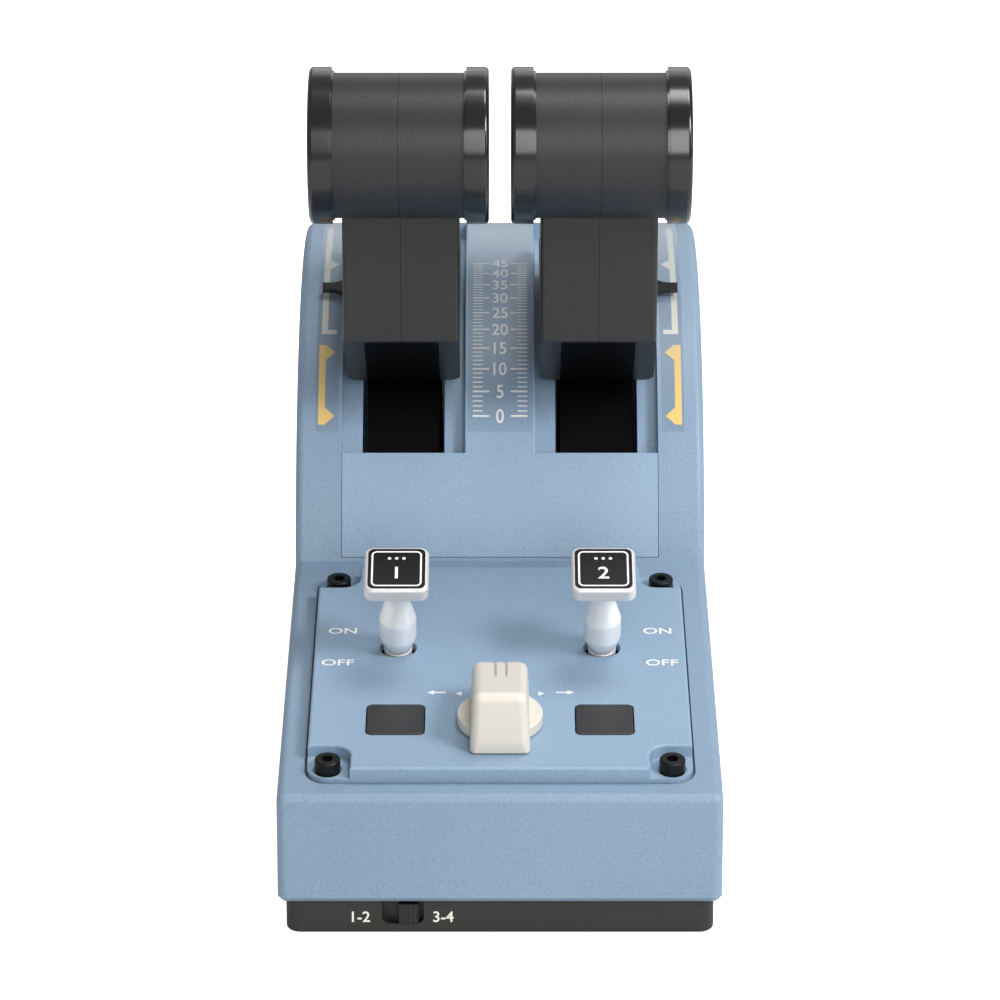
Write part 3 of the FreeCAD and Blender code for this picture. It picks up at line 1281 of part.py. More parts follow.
def lever_pointer(side, sign):
    """The black pointer on the outer flank, with a flared root."""
    piece = body(
        f"lever_pointer_{side}", f"{sign}lever_offset",
        "pivot_y - pointer_radius * cos(pointer_angle)",
        "pivot_height + pointer_radius * sin(pointer_angle)", "90 - pointer_angle",
    )
    sketch = drawing(piece, "XY")
    root, tip = f"{sign}neck_width / 2", f"{sign}(neck_width / 2 + pointer_out)"
    waist = f"{sign}(neck_width / 2 + pointer_out * 2 / 3)"
    turn = 1 if sign == "-" else -1
    outline(sketch, [
        (root, "-pointer_root / 2", "pointer_flare", turn), (waist, "-pointer_tip / 2"),
        (tip, "-pointer_tip / 2"), (tip, "pointer_tip / 2"),
        (waist, "pointer_tip / 2", "pointer_flare", turn), (root, "pointer_root / 2"),
    ])
    pad(piece, sketch, "pointer_thick")
    return piece


def handle_screws(side, sign):
    """The screws that draw the two halves of the handle together."""
    piece = lever_body(f"handle_screws_{side}", sign)
    way = -1 if sign == "" else 1
    face = "(neck_width / 2 - handle_screw_sink)"
    sketch = drawing(piece, "YZ", f"-{face}" if way < 0 else face)
    for y, z in handle_screw_places():
        circle(sketch, y, z, "handle_screw_head")
    pad(piece, sketch, "handle_screw_sink - button_clearance", back=way < 0)
    sketch = drawing(piece, "YZ", f"-{face}" if way < 0 else face)
    for y, z in handle_screw_places():
        circle(sketch, y, z, "handle_screw_bore")
    pad(piece, sketch, f"{face} + neck_width / 2 - neck_wall - seam_gap", back=way > 0)
    return piece


# ---------------------------------------------------------------- assembly

def build():
    base_tray()
    rubber_feet()
    case_screws()
    mount_inserts()
    inner_plates()
    main_shell()
    hump_cover()
    lever_tracks()
    control_panel()
    panel_screws()
    panel_board()
    board_switches()
    selector()
    slide_switch()
    pivot_brackets()
    pivot_parts()
    detents()
    ports()
    for side, sign in SIDES.items():
        push_button(side, sign)
        toggle(side, sign)
        lever_arm(side, sign)
        outward = -1 if sign == "-" else 1
        half_shell(f"handle_shell_outer_{side}", sign, outward, True)
        half_shell(f"handle_shell_inner_{side}", sign, -outward, False)
        handle_flanges(side, sign)
        handle_caps(side, sign)
        lever_pointer(side, sign)
        handle_screws(side, sign)
        disconnect_button(side, sign)
        reverse_latch(side, sign)


def check_document():
    doc.recompute()
    for item in doc.Objects:
        if "Invalid" in item.State or "Error" in item.State:
            raise RuntimeError(f"{item.Label} did not build: {item.State}")
    for piece in PIECES:
        if piece.Shape.isNull() or not piece.Shape.isValid() or piece.Shape.Volume <= 0:
            raise RuntimeError(f"{piece.Label} has no valid solid")


build()
check_document()
for finished in PIECES:
    finished.Shape.exportStep(f"parts/{finished.Label}.step")
print(len(PIECES), "pieces")
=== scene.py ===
"""Dresses the throttle quadrant: finishes, printed marks, films, light and camera."""
import math

import bpy
import numpy as np
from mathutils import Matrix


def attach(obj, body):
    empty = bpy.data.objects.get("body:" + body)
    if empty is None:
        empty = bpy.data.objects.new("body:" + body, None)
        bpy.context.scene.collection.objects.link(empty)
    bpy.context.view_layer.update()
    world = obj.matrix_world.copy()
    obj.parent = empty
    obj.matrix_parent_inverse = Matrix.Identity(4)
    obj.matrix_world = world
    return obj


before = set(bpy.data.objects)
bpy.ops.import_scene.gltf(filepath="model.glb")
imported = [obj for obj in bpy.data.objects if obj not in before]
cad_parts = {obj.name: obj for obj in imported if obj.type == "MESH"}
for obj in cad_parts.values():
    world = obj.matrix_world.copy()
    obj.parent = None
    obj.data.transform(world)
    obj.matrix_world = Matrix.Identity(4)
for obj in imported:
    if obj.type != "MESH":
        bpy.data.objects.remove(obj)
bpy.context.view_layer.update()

bl_info = {
    "name": "Throttle quadrant",
    "version": (1, 0, 0),
    "blender": (4, 5, 0),
    "location": "View3D > Sidebar > Quadrant",
    "description": "Builds the looks of a two-lever throttle quadrant",
    "category": "Object",
}

# ---------------------------------------------------------------- sizes, in millimetres
# They repeat sizes of the part, whose source this file can't read.

DECK_SLOPE = math.radians(8.27)
EDGE = (-126.4, 41.4)  # y and z of the deck's front edge
PIVOT = (96.3, 33.35)  # y and z of the lever pivot
PANEL_TOP = 4.6  # the panel's face, above the deck
HUMP = 98.0  # radius of the printed faces about the lever pivot
TOGGLE = 28.6  # a toggle's pivot, sideways from the middle
TOGGLE_ALONG = 71.4
TOGGLE_DEPTH = 1.2  # a toggle's pivot, below the panel's face
TOGGLE_LEAN = math.radians(14.4)
TOGGLE_TOP = 31.0  # the legend plate, above the panel's face
TRAY_FRONT = -125.9
PRINT = 0.04  # gap between a printed mark and what it lies on
SIGNS = {"left": -1, "right": 1}

# Printed marks. On the hump, heights are angles in degrees about the lever pivot.
MARKS = 10
TICKS_PER_MARK = 5
SCALE_START, SCALE_STEP, SCALE_SHRINK = 41.3, 4.75, 0.083
TICK_OUTER = 8.05
LONG_TICK, SHORT_TICK = (3.15, 0.3), (5.1, 0.2)  # inner end, half the thickness
NUMERAL_STRETCH = 0.8
TYPE_WEIGHT = 0.012  # how much letters are thickened, as a share of their size
CREAM_BAR = (51.2, 53.0, 58.4, 96.0)  # from x, to x, from angle, to angle
CREAM_FOOT = (48.6, 53.0, 57.9, 58.9)
CREAM_POINTER = ((48.6, 77.0), (51.2, 78.6), (51.2, 75.4))
AMBER_BAR = (51.6, 53.6, 39.7, 55.5)
AMBER_POINTERS = (((48.8, 53.9), (51.6, 55.5), (51.6, 52.3)),
                  ((48.8, 41.3), (51.6, 42.9), (51.6, 39.7)))
FILM_SPANS = ((-9.6, 9.6), (47.6, 54.3), (-54.3, -47.6))
FILM_ANGLES = (38.4, 101.0)
FILM_LIFT = 3 * PRINT
PANEL_TYPE, PANEL_STRETCH = 4.6, 1.15
PANEL_WORDS = (("ON", 44.5, 81.0), ("OFF", 45.3, 63.3))
ARROWS = ((-17.6, 46.9, -1), (18.0, 46.9, 1))  # x, along the deck, way
ARROW_OUTLINE = ((-2.6, -0.35), (0.6, -0.35), (0.6, -1.2), (2.6, 0.0),
                 (0.6, 1.2), (0.6, 0.35), (-2.6, 0.35))
TRIANGLE_X, TRIANGLE_DROP = 10.6, 0.6
TRIANGLE_HALF, TRIANGLE_LONG = 1.1, 1.7
BORDER_OUTER, BORDER_INNER, BORDER_RADIUS = 7.0, 6.5, 1.6
LEGEND_TYPE, LEGEND_DROP = 6.6, 1.6
DOTS, DOT_UP, DOT_RADIUS = (-2.0, 0.0, 2.0), 4.1, 0.5
TRAY_TYPE, TRAY_UP = 4.4, 5.9
TRAY_WORDS = (("1-2", -37.6), ("3-4", -15.3))

# The finishes: shares of the grain's scale and height, and the films' painted highlight, which
# pales them up the hump.
CELL_SCALE, PIT_SHARE, SLOW_SCALE, SPECK_SHARE = 0.7, 0.5, 14, 2.5
BUMP_DISTANCE = 0.0002
# Where the films' painted highlight starts, how fast it pales them up the hump, and how fast they
# thicken with it.
FILM_FOOT, FILM_HIGHLIGHT_CLIMB, FILM_HIGHLIGHT_THICKEN = 0.02, 12.0, 5.0

# The stage, in metres, watts and degrees, with the lens and sensor in millimetres.
LENS, SENSOR = 161.7, 36
CAMERA_PLACE, CAMERA_TILT = (0, -1.22869, 0.52717), 70
FLOOR_HALF = 6
WORLD_LIGHT, WORLD_SEEN = 0.35, 0.65
AIM = (0, 0, 0.08)
LAMPS = (  # name, place, width, power, height if not the width
    ("key", (1.05, -0.9, 1.25), 0.5, 20, None),
    ("top", (0.35, 0.1, 1.6), 0.6, 10, None),
    ("fill", (-1.4, -1.2, 0.8), 1.4, 0.8, None),
    ("back", (0.2, 1.5, 0.9), 1.0, 2, None),
    ("side", (1.5, -0.6, 0.6), 0.6, 3, None),
    ("softbox", (0.22, -1.85, 0.9), 0.5, 11, 1.2),
)


def on_deck(x, along, above):
    """World points, in millimetres, from a place on the deck."""
    y = EDGE[0] + along * math.cos(DECK_SLOPE) - above * math.sin(DECK_SLOPE)
    z = EDGE[1] + along * math.sin(DECK_SLOPE) + above * math.cos(DECK_SLOPE)
    return np.stack(np.broadcast_arrays(x, y, z), axis=-1)


def on_hump(x, angle, radius):
    """World points, in millimetres, from an angle in degrees about the lever pivot."""
    turn = np.radians(angle)
    y = PIVOT[0] - radius * np.cos(turn)
    z = PIVOT[1] + radius * np.sin(turn)
    return np.stack(np.broadcast_arrays(x, y, z), axis=-1)


def on_toggle(sign, x, y, above):
    """World points from a place on a toggle's cap, measured from the toggle's pivot."""
    lean = DECK_SLOPE + TOGGLE_LEAN
    foot = on_deck(sign * TOGGLE, TOGGLE_ALONG, PANEL_TOP - TOGGLE_DEPTH)
    dy = y * math.cos(lean) - above * math.sin(lean)
    dz = y * math.sin(lean) + above * math.cos(lean)
    return np.stack(np.broadcast_arrays(foot[0] + x, foot[1] + dy, foot[2] + dz), axis=-1)


# ---------------------------------------------------------------- meshes

def piece(name, points, faces, material, body, smooth=False):
    """A mesh piece from points in millimetres, riding on one body of the frame."""
    mesh = bpy.data.meshes.new(name)
    points = np.asarray(points, dtype=float) / 1000
    mesh.from_pydata(points.tolist(), [], [list(map(int, face)) for face in faces])
    mesh.materials.append(material)
    mesh.polygons.foreach_set("use_smooth", [smooth] * len(mesh.polygons))
    mesh.update()
    item = bpy.data.objects.new(name, mesh)
    bpy.context.scene.collection.objects.link(item)
    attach(item, body)
    return item


def joined(groups):
    """One list of points and faces from several."""
    points, faces, base = [], [], 0
    for group_points, group_faces in groups:
        group_points = np.asarray(group_points, dtype=float).reshape(-1, 3)
        points.append(group_points)
        faces += [[base + corner for corner in face] for face in group_faces]
        base += len(group_points)
    return np.concatenate(points), faces


def patch(low_x, high_x, low, high, place):
    """A thin printed rectangle laid on the hump: x by angle, one strip a degree or less."""
    steps = max(1, math.ceil(high - low))
    xs = np.array([low_x, high_x])
    vs = np.linspace(low, high, steps + 1)
    grid_x, grid_v = np.meshgrid(xs, vs)
    points = place(grid_x, grid_v).reshape(-1, 3)
    faces = [(2 * i, 2 * i + 1, 2 * i + 3, 2 * i + 2) for i in range(steps)]
    return points, faces


def polygon(corners, place):
    """A flat printed polygon laid on a surface."""
    corners = np.asarray(corners, dtype=float)
    return place(corners[:, 0], corners[:, 1]).reshape(-1, 3), [list(range(len(corners)))]


def words(text, size, place, middle=(0, 0), stretch=1.0):
    """Lettering as points and faces, centred on a spot and laid on a surface."""
    curve = bpy.data.curves.new("words", "FONT")
    curve.body = text
    curve.size = size
    curve.align_x = "CENTER"
    curve.align_y = "CENTER"
    curve.offset = size * TYPE_WEIGHT
    item = bpy.data.objects.new("words", curve)
    bpy.context.scene.collection.objects.link(item)
    evaluated = item.evaluated_get(bpy.context.evaluated_depsgraph_get())
    mesh = bpy.data.meshes.new_from_object(evaluated)
    flat = np.empty(len(mesh.vertices) * 3)
    mesh.vertices.foreach_get("co", flat)
    flat = flat.reshape(-1, 3)
    centre = (flat.min(axis=0) + flat.max(axis=0)) / 2
    across = (flat[:, 0] - centre[0]) * stretch + middle[0]
    up = flat[:, 1] - centre[1] + middle[1]
    faces = [list(face.vertices) for face in mesh.polygons]
    bpy.data.objects.remove(item)
    bpy.data.meshes.remove(mesh)
    bpy.data.curves.remove(curve)
    return place(across, up), faces


# ---------------------------------------------------------------- materials

def node_group(name, outputs, inputs):
    """A shader node group with its sockets, and its input and output nodes."""
    group = bpy.data.node_groups.new(name, "ShaderNodeTree")
    for label, kind, default in inputs:
        socket = group.interface.new_socket(label, in_out="INPUT", socket_type=kind)
        socket.default_value = default
    for label, kind in outputs:
        group.interface.new_socket(label, in_out="OUTPUT", socket_type=kind)
    return group, group.nodes.new("NodeGroupInput"), group.nodes.new("NodeGroupOutput")


def link(tree, start, end):
    tree.links.new(start, end)


def maths(tree, kind, first, second):
    node = tree.nodes.new("ShaderNodeMath")
    node.operation = kind
    for socket, value in zip(node.inputs, (first, second)):
        if isinstance(value, (int, float)):
            socket.default_value = value
        else:
            link(tree, value, socket)
    return node.outputs[0]


def grain_group():
    """Moulded grain: two sizes of noise give a height, and a slow drift of tone and gloss."""
    group, given, out = node_group(
        "moulded_grain",
        [("Color", "NodeSocketColor"), ("Roughness", "NodeSocketFloat"),
         ("Height", "NodeSocketFloat")],
        [("Tone", "NodeSocketColor", (0.2, 0.3, 0.4, 1)), ("Grain", "NodeSocketFloat", 1200.0),
         ("Base Roughness", "NodeSocketFloat", 0.5), ("Drift", "NodeSocketFloat", 0.06)],
    )
    spot = group.nodes.new("ShaderNodeTexCoord").outputs["Object"]
    fine = group.nodes.new("ShaderNodeTexNoise")
    fine.inputs["Detail"].default_value = 3
    link(group, spot, fine.inputs["Vector"])
    link(group, given.outputs["Grain"], fine.inputs["Scale"])
    cells = group.nodes.new("ShaderNodeTexVoronoi")
    link(group, spot, cells.inputs["Vector"])
    link(group, maths(group, "MULTIPLY", given.outputs["Grain"], CELL_SCALE), cells.inputs["Scale"])
    slow = group.nodes.new("ShaderNodeTexNoise")
    slow.inputs["Scale"].default_value = SLOW_SCALE
    link(group, spot, slow.inputs["Vector"])
    pits = maths(group, "MULTIPLY", cells.outputs["Distance"], PIT_SHARE)
    height = maths(group, "ADD", fine.outputs["Fac"], pits)
    link(group, height, out.inputs["Height"])
    drift = given.outputs["Drift"]
    shift = maths(group, "MULTIPLY", maths(group, "SUBTRACT", slow.outputs["Fac"], 0.5), drift)
    swing = maths(group, "SUBTRACT", fine.outputs["Fac"], 0.5)
    speck = maths(group, "MULTIPLY", swing, maths(group, "MULTIPLY", drift, SPECK_SHARE))
    bright = group.nodes.new("ShaderNodeHueSaturation")
    value = maths(group, "ADD", maths(group, "ADD", shift, speck), 1.0)
    link(group, value, bright.inputs["Value"])
    link(group, given.outputs["Tone"], bright.inputs["Color"])
    link(group, bright.outputs["Color"], out.inputs["Color"])
    rough = maths(group, "ADD", given.outputs["Base Roughness"], shift)
    link(group, rough, out.inputs["Roughness"])
    return group


def linear(red, green, blue):
    """A colour from 0-255 sRGB to linear light."""
    values = np.array([red, green, blue]) / 255
    low, high = values / 12.92, ((values + 0.055) / 1.055) ** 2.4
    return (*np.where(values <= 0.04045, low, high), 1.0)


class Finish:
    """Builds materials that share the grain group."""

    def __init__(self):
        self.grain = grain_group()

    def make(self, name, tone, rough, grain=1200.0, bump=0.15, drift=0.06, **shader):
        material = bpy.data.materials.new(name)
        material.use_nodes = True
        tree = material.node_tree
        surface = tree.nodes["Principled BSDF"]
        grain_node = tree.nodes.new("ShaderNodeGroup")
        grain_node.node_tree = self.grain
        grain_node.inputs["Tone"].default_value = tone
        grain_node.inputs["Grain"].default_value = grain
        grain_node.inputs["Base Roughness"].default_value = rough
        grain_node.inputs["Drift"].default_value = drift
        link(tree, grain_node.outputs["Color"], surface.inputs["Base Color"])
        link(tree, grain_node.outputs["Roughness"], surface.inputs["Roughness"])
        lift = tree.nodes.new("ShaderNodeBump")
        lift.inputs["Strength"].default_value = bump
        lift.inputs["Distance"].default_value = BUMP_DISTANCE
        link(tree, grain_node.outputs["Height"], lift.inputs["Height"])
        link(tree, lift.outputs["Normal"], surface.inputs["Normal"])
        for label, value in shader.items():
            surface.inputs[label.replace("_", " ")].default_value = value
        return material


FINISHES = {}


def opaque(colour):
    """A colour of three numbers, with full alpha."""
    return (*colour, 1.0)


def make_finishes(colours):
    """One material a finish: name, tone, roughness, grain, bump and drift."""
    finish = Finish()
    plain = {
        "blue_paint": (opaque(colours.casing), 0.44, 2100, 0.4, 0.2),
        "cover_blue": (opaque(colours.cover), 0.44, 2100, 0.4, 0.2),
        "base_black": (linear(34, 34, 31), 0.55, 1800, 0.22, 0.12),
        "grip_grey": (opaque(colours.grip), 0.42, 2600, 0.2, 0.12),
        "black_plastic": (linear(24, 24, 25), 0.5, 1600, 0.15, 0.08),
        "key_grey": (linear(43, 43, 45), 0.42, 1800, 0.14, 0.08),
        "cream": (opaque(colours.selector), 0.38, 900, 0.06, 0.03),
        "red_plastic": (linear(170, 24, 18), 0.3, 1200, 0.05, 0.05),
        "board_green": (linear(20, 92, 52), 0.35, 700, 0.1, 0.15),
        "rubber": (linear(26, 26, 26), 0.75, 1400, 0.3, 0.1),
        "nylon": (linear(222, 220, 210), 0.5, 900, 0.05, 0.03),
        "print_white": (linear(236, 237, 234), 0.5, 1500, 0.05, 0.03),
        "print_cream": (linear(230, 228, 214), 0.5, 1500, 0.05, 0.03),
        "print_amber": (linear(238, 202, 120), 0.5, 1500, 0.05, 0.04),
    }
    for name, values in plain.items():
        FINISHES[name] = finish.make(name, *values)
    for name, tone, rough, grain in (
            ("steel", linear(170, 170, 168), 0.3, 1500),
            ("brass", linear(205, 172, 110), 0.3, 1500),
            ("black_steel", linear(34, 34, 35), 0.36, 2000)):
        FINISHES[name] = finish.make(name, tone, rough, grain, 0.08, 0.06, Metallic=0.75)
    for name, tone in (
            ("satin", linear(240, 240, 240)), ("cap_satin", linear(214, 214, 215))):
        FINISHES[name] = finish.make(name, tone, 0.34, 2200, 0.06, 0.04, Metallic=0.35)
    # Black plastic with painted shade: the near-black tone and low specular stand in for the shade
    # that falls on the lever skirts under the necks.
    FINISHES["arm_black_painted_shade"] = finish.make("arm_black_painted_shade", linear(4, 4, 5), 0.6, 1600, 0.1, 0.08,
                                        Specular_IOR_Level=0.06)
    FINISHES["gloss_black"] = finish.make("gloss_black", linear(14, 14, 15), 0.2, 900, 0.02, 0.05,
                                          Coat_Weight=0.35, Coat_Roughness=0.14)
    FINISHES["film"] = make_film(finish, colours.film_cover)


def make_film(finish, cover):
    """The grey films: a painted highlight ramps them from darker at the foot to pale at the top of
    the hump, and they hide more of the paint as it climbs.
    """
    material = finish.make("film", linear(110, 120, 130), 0.32, 1500, 0.04, 0.05)
    tree = material.node_tree
    surface = tree.nodes["Principled BSDF"]
    spot = tree.nodes.new("ShaderNodeTexCoord")
    split = tree.nodes.new("ShaderNodeSeparateXYZ")
    link(tree, spot.outputs["Object"], split.inputs["Vector"])
    # Painted highlight: the films' colour ramps from dark at the foot to pale towards the top of
    # the hump.
    ramp = tree.nodes.new("ShaderNodeValToRGB")
    ramp.color_ramp.elements[0].color = linear(74, 86, 98)
    ramp.color_ramp.elements[1].color = linear(184, 197, 210)
    risen = maths(tree, "SUBTRACT", split.outputs["Y"], FILM_FOOT)
    up = maths(tree, "MULTIPLY", risen, FILM_HIGHLIGHT_CLIMB)
    link(tree, up, ramp.inputs["Fac"])
    link(tree, ramp.outputs["Color"], surface.inputs["Base Color"])
    # The films grow more opaque as the painted highlight climbs, so more of the pale colour shows.
    climb = maths(tree, "ADD", maths(tree, "MULTIPLY", up, FILM_HIGHLIGHT_THICKEN), 1.0)
    thick = maths(tree, "MULTIPLY", climb, cover)
    link(tree, thick, surface.inputs["Alpha"])
    return material


NODE_FINISH = {
    "ballast_plate": "steel", "base_tray": "base_black",
    "case_screws": "black_steel", "control_panel": "cover_blue", "detent_housings": "black_plastic",
    "detent_plungers": "nylon", "detent_springs": "steel", "disconnect_button": "red_plastic",
    "friction_washers": "nylon", "handle_caps": "base_black", "handle_flanges": "gloss_black",
    "handle_screws": "black_steel", "handle_shell": "grip_grey", "hub_magnet": "steel",
    "hump_cover": "cover_blue", "lever_arm": "arm_black_painted_shade", "lever_pointer": "gloss_black",
    "lever_tracks": "cover_blue", "main_board": "board_green", "main_shell": "blue_paint",
    "mode_slider": "black_plastic", "mode_switch": "black_plastic", "mount_inserts": "brass",
    "panel_board": "board_green", "panel_screws": "black_steel", "pivot_brackets": "black_plastic",
    "pivot_shaft": "steel", "push_button": "key_grey", "rear_board": "board_green",
    "reverse_latch": "base_black", "rotary_switch": "black_plastic", "rubber_feet": "rubber",
    "selector_knob": "cream", "selector_shaft": "steel", "sensor_boards": "board_green",
    "shaft_nuts": "steel", "shaft_spacers": "nylon", "tact_switches": "black_plastic",
    "toggle_cap": "cap_satin", "toggle_legend": "gloss_black", "toggle_stem": "satin",
    "toggle_switches": "black_plastic", "usb_port": "steel",
}


# ---------------------------------------------------------------- printed marks

def place_scale(x, along):
    """Printed marks on the strip: along is in degrees about the pivot."""
    return on_hump(x, along, HUMP + PRINT)


def scale_angle(step):
    """The angle of a mark on the scale, whose steps shrink as it climbs."""
    return SCALE_START + SCALE_STEP * step - SCALE_SHRINK * step ** 2


def build_scale(sizes):
    """The ticks and numerals up the strip."""
    ticks = []
    for tick in range(TICKS_PER_MARK * (MARKS - 1) + 1):
        inner, thick = SHORT_TICK if tick % TICKS_PER_MARK else LONG_TICK
        angle = scale_angle(tick / TICKS_PER_MARK)
        half = math.degrees(thick * sizes.tick_weight / HUMP)
        for sign in (-1, 1):
            low, high = sorted((sign * inner, sign * TICK_OUTER))
            ticks.append(patch(low, high, angle - half, angle + half, place_scale))
    piece("scale_ticks", *joined(ticks), FINISHES["print_white"], "base")
    numerals = []
    for step in range(MARKS):
        def lay(x, up, angle=scale_angle(step)):
            return place_scale(x, angle + np.degrees(up / HUMP))
        size = sizes.numeral_size * 1000
        numerals.append(words(str(TICKS_PER_MARK * step), size, lay, stretch=NUMERAL_STRETCH))
    piece("scale_numerals", *joined(numerals), FINISHES["print_white"], "base")


def build_side_marks():
    """Cream and amber brackets with pointer triangles beside each track."""
    for side, sign in SIGNS.items():
        def lay(x, angle, sign=sign):
            return on_hump(sign * x, angle, HUMP + PRINT)
        cream = [patch(*CREAM_BAR, lay), patch(*CREAM_FOOT, lay), polygon(CREAM_POINTER, lay)]
        amber = [patch(*AMBER_BAR, lay), *(polygon(corners, lay) for corners in AMBER_POINTERS)]
        piece(f"mark_cream_{side}", *joined(cream), FINISHES["print_cream"], "base")
        piece(f"mark_amber_{side}", *joined(amber), FINISHES["print_amber"], "base")


def build_films():
    """Clear grey films over the scale and the side marks."""
    def lay(x, angle):
        return on_hump(x, angle, HUMP + FILM_LIFT)
    films = [patch(low, high, *FILM_ANGLES, lay) for low, high in FILM_SPANS]
    piece("mark_films", *joined(films), FINISHES["film"], "base", smooth=True)


def arrow(x, along, way):
    """A plain arrow on the deck, pointing left or right (way -1 or 1)."""
    return [(x + way * right, along + up) for right, up in ARROW_OUTLINE]


def triangle(x, along, way):
    """A small triangle on the deck, pointing left or right (way -1 or 1)."""
    tip = (x + way * TRIANGLE_LONG, along)
    return [(x, along - TRIANGLE_HALF), tip, (x, along + TRIANGLE_HALF)]


def build_panel_print():
    """ON and OFF beside the toggles and plain arrows beside the selector."""
    def lay(x, along):
        return on_deck(x, along, PANEL_TOP + PRINT)
    marks = []
    for sign in SIGNS.values():
        for text, x, along in PANEL_WORDS:
            marks.append(words(text, PANEL_TYPE, lay, (sign * x, along), PANEL_STRETCH))
    for x, along, way in ARROWS:
        marks.append(polygon(arrow(x, along, way), lay))
        marks.append(polygon(triangle(way * TRIANGLE_X, along - TRIANGLE_DROP, way), lay))
    piece("panel_words", *joined(marks), FINISHES["print_white"], "base")


def disc(x, y, radius, steps=16):
    """The outline of a printed dot."""
    turn = np.linspace(0, 2 * math.pi, steps, endpoint=False)
    return list(zip(x + radius * np.cos(turn), y + radius * np.sin(turn)))


def build_legends():
    """A white border line, a numeral and three dots on each toggle's legend plate."""
    for number, (side, sign) in enumerate(SIGNS.items(), 1):
        def lay(x, y, sign=sign):
            return on_toggle(sign, x, y, TOGGLE_TOP + TOGGLE_DEPTH + PRINT)
        points, faces = rounded_ring(BORDER_OUTER, BORDER_INNER, BORDER_RADIUS)
        marks = [
            (lay(points[:, 0], points[:, 1]), faces),
            words(str(number), LEGEND_TYPE, lay, (0, -LEGEND_DROP)),
        ]
        marks += [polygon(disc(x, DOT_UP, DOT_RADIUS), lay) for x in DOTS]
        piece(f"legend_print_{side}", *joined(marks), FINISHES["print_white"], f"toggle_{side}")


def rounded_ring(outer, inner, radius, steps=8):
    """A flat square ring with round corners, as (points, faces)."""
    rings = []
    for half in (outer, inner):
        corner = max(radius - (outer - half), 0.1)
        loop = []
        for quarter in range(4):
            turn = np.linspace(quarter, quarter + 1, steps + 1) * math.pi / 2
            sx = 1 if quarter in (0, 3) else -1
            sy = 1 if quarter in (0, 1) else -1
            loop += [(sx * (half - corner) + corner * math.cos(t),
                      sy * (half - corner) + corner * math.sin(t)) for t in turn]
        rings.append(loop)
    count = len(rings[0])
    faces = [(i, (i + 1) % count, count + (i + 1) % count, count + i) for i in range(count)]
    return np.array(rings[0] + rings[1]), faces


def build_tray_print():
    """Plain numerals beside the slide switch."""
    def lay(x, up):
        return np.stack(np.broadcast_arrays(x, TRAY_FRONT - PRINT, up), axis=-1)
    marks = [words(text, TRAY_TYPE, lay, (x, TRAY_UP)) for text, x in TRAY_WORDS]
    piece("tray_numerals", *joined(marks), FINISHES["print_cream"], "base")


# ---------------------------------------------------------------- stage

def build_stage(light):
    """The camera, the floor, the lamps and the world."""
    scene = bpy.context.scene
    camera_data = bpy.data.cameras.new("camera")
    camera_data.lens = LENS
    camera_data.sensor_width = SENSOR
    camera_data.clip_end = 20
    camera = bpy.data.objects.new("camera", camera_data)
    camera.location = CAMERA_PLACE
    camera.rotation_euler = (math.radians(CAMERA_TILT), 0, 0)
    scene.collection.objects.link(camera)
    scene.camera = camera
    scene.view_settings.view_transform = "Standard"
    floor_mesh = bpy.data.meshes.new("floor")
    half = FLOOR_HALF
    corners = [(-half, -half, 0), (half, -half, 0), (half, half, 0), (-half, half, 0)]
    floor_mesh.from_pydata(corners, [], [(0, 1, 2, 3)])
    floor = bpy.data.objects.new("floor", floor_mesh)
    scene.collection.objects.link(floor)
    floor_mesh.materials.append(floor_material())
    for name, place, size, power, tall in LAMPS:
        lamp(name, place, size, power * light, tall)
    world = bpy.data.worlds.new("world")
    world.use_nodes = True
    scene.world = world
    background = world.node_tree.nodes["Background"]
    tree = world.node_tree
    path = tree.nodes.new("ShaderNodeLightPath")
    background.inputs["Color"].default_value = (1, 1, 1, 1)
    seen = maths(tree, "MULTIPLY", path.outputs["Is Camera Ray"], WORLD_SEEN)
    strength = maths(tree, "ADD", seen, WORLD_LIGHT)
    link(tree, strength, background.inputs["Strength"])


def floor_material():
    """A pale floor that the camera sees as white."""
    material = bpy.data.materials.new("floor")
    material.use_nodes = True
    tree = material.node_tree
    surface = tree.nodes["Principled BSDF"]
    surface.inputs["Base Color"].default_value = (0.8, 0.8, 0.8, 1)
    surface.inputs["Roughness"].default_value = 0.9
    surface.inputs["Emission Color"].default_value = (1, 1, 1, 1)
    path = tree.nodes.new("ShaderNodeLightPath")
    link(tree, path.outputs["Is Camera Ray"], surface.inputs["Emission Strength"])
    return material


def lamp(name, place, size, power, tall=None):
    """A lamp that faces the object: square, or an upright strip if it has a height."""
    data = bpy.data.lights.new(name, "AREA")
    data.shape = "RECTANGLE"
    data.size = size
    data.size_y = tall or size
    data.energy = power
    item = bpy.data.objects.new(name, data)
    item.location = place
    x, y, z = np.array(AIM) - np.array(place)
    item.rotation_euler = (math.atan2(math.hypot(x, y), -z), 0, math.atan2(-x, y))
    bpy.context.scene.collection.objects.link(item)


def dress_nodes():
    """Give each CAD node its finish."""
    for name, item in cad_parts.items():
        stem = name.rsplit("_", 1)[0] if name.endswith(("_left", "_right")) else name
        if stem.startswith("handle_shell"):
            stem = "handle_shell"
        item.data.materials.clear()
        item.data.materials.append(FINISHES[NODE_FINISH[stem]])


# ---------------------------------------------------------------- the add-on

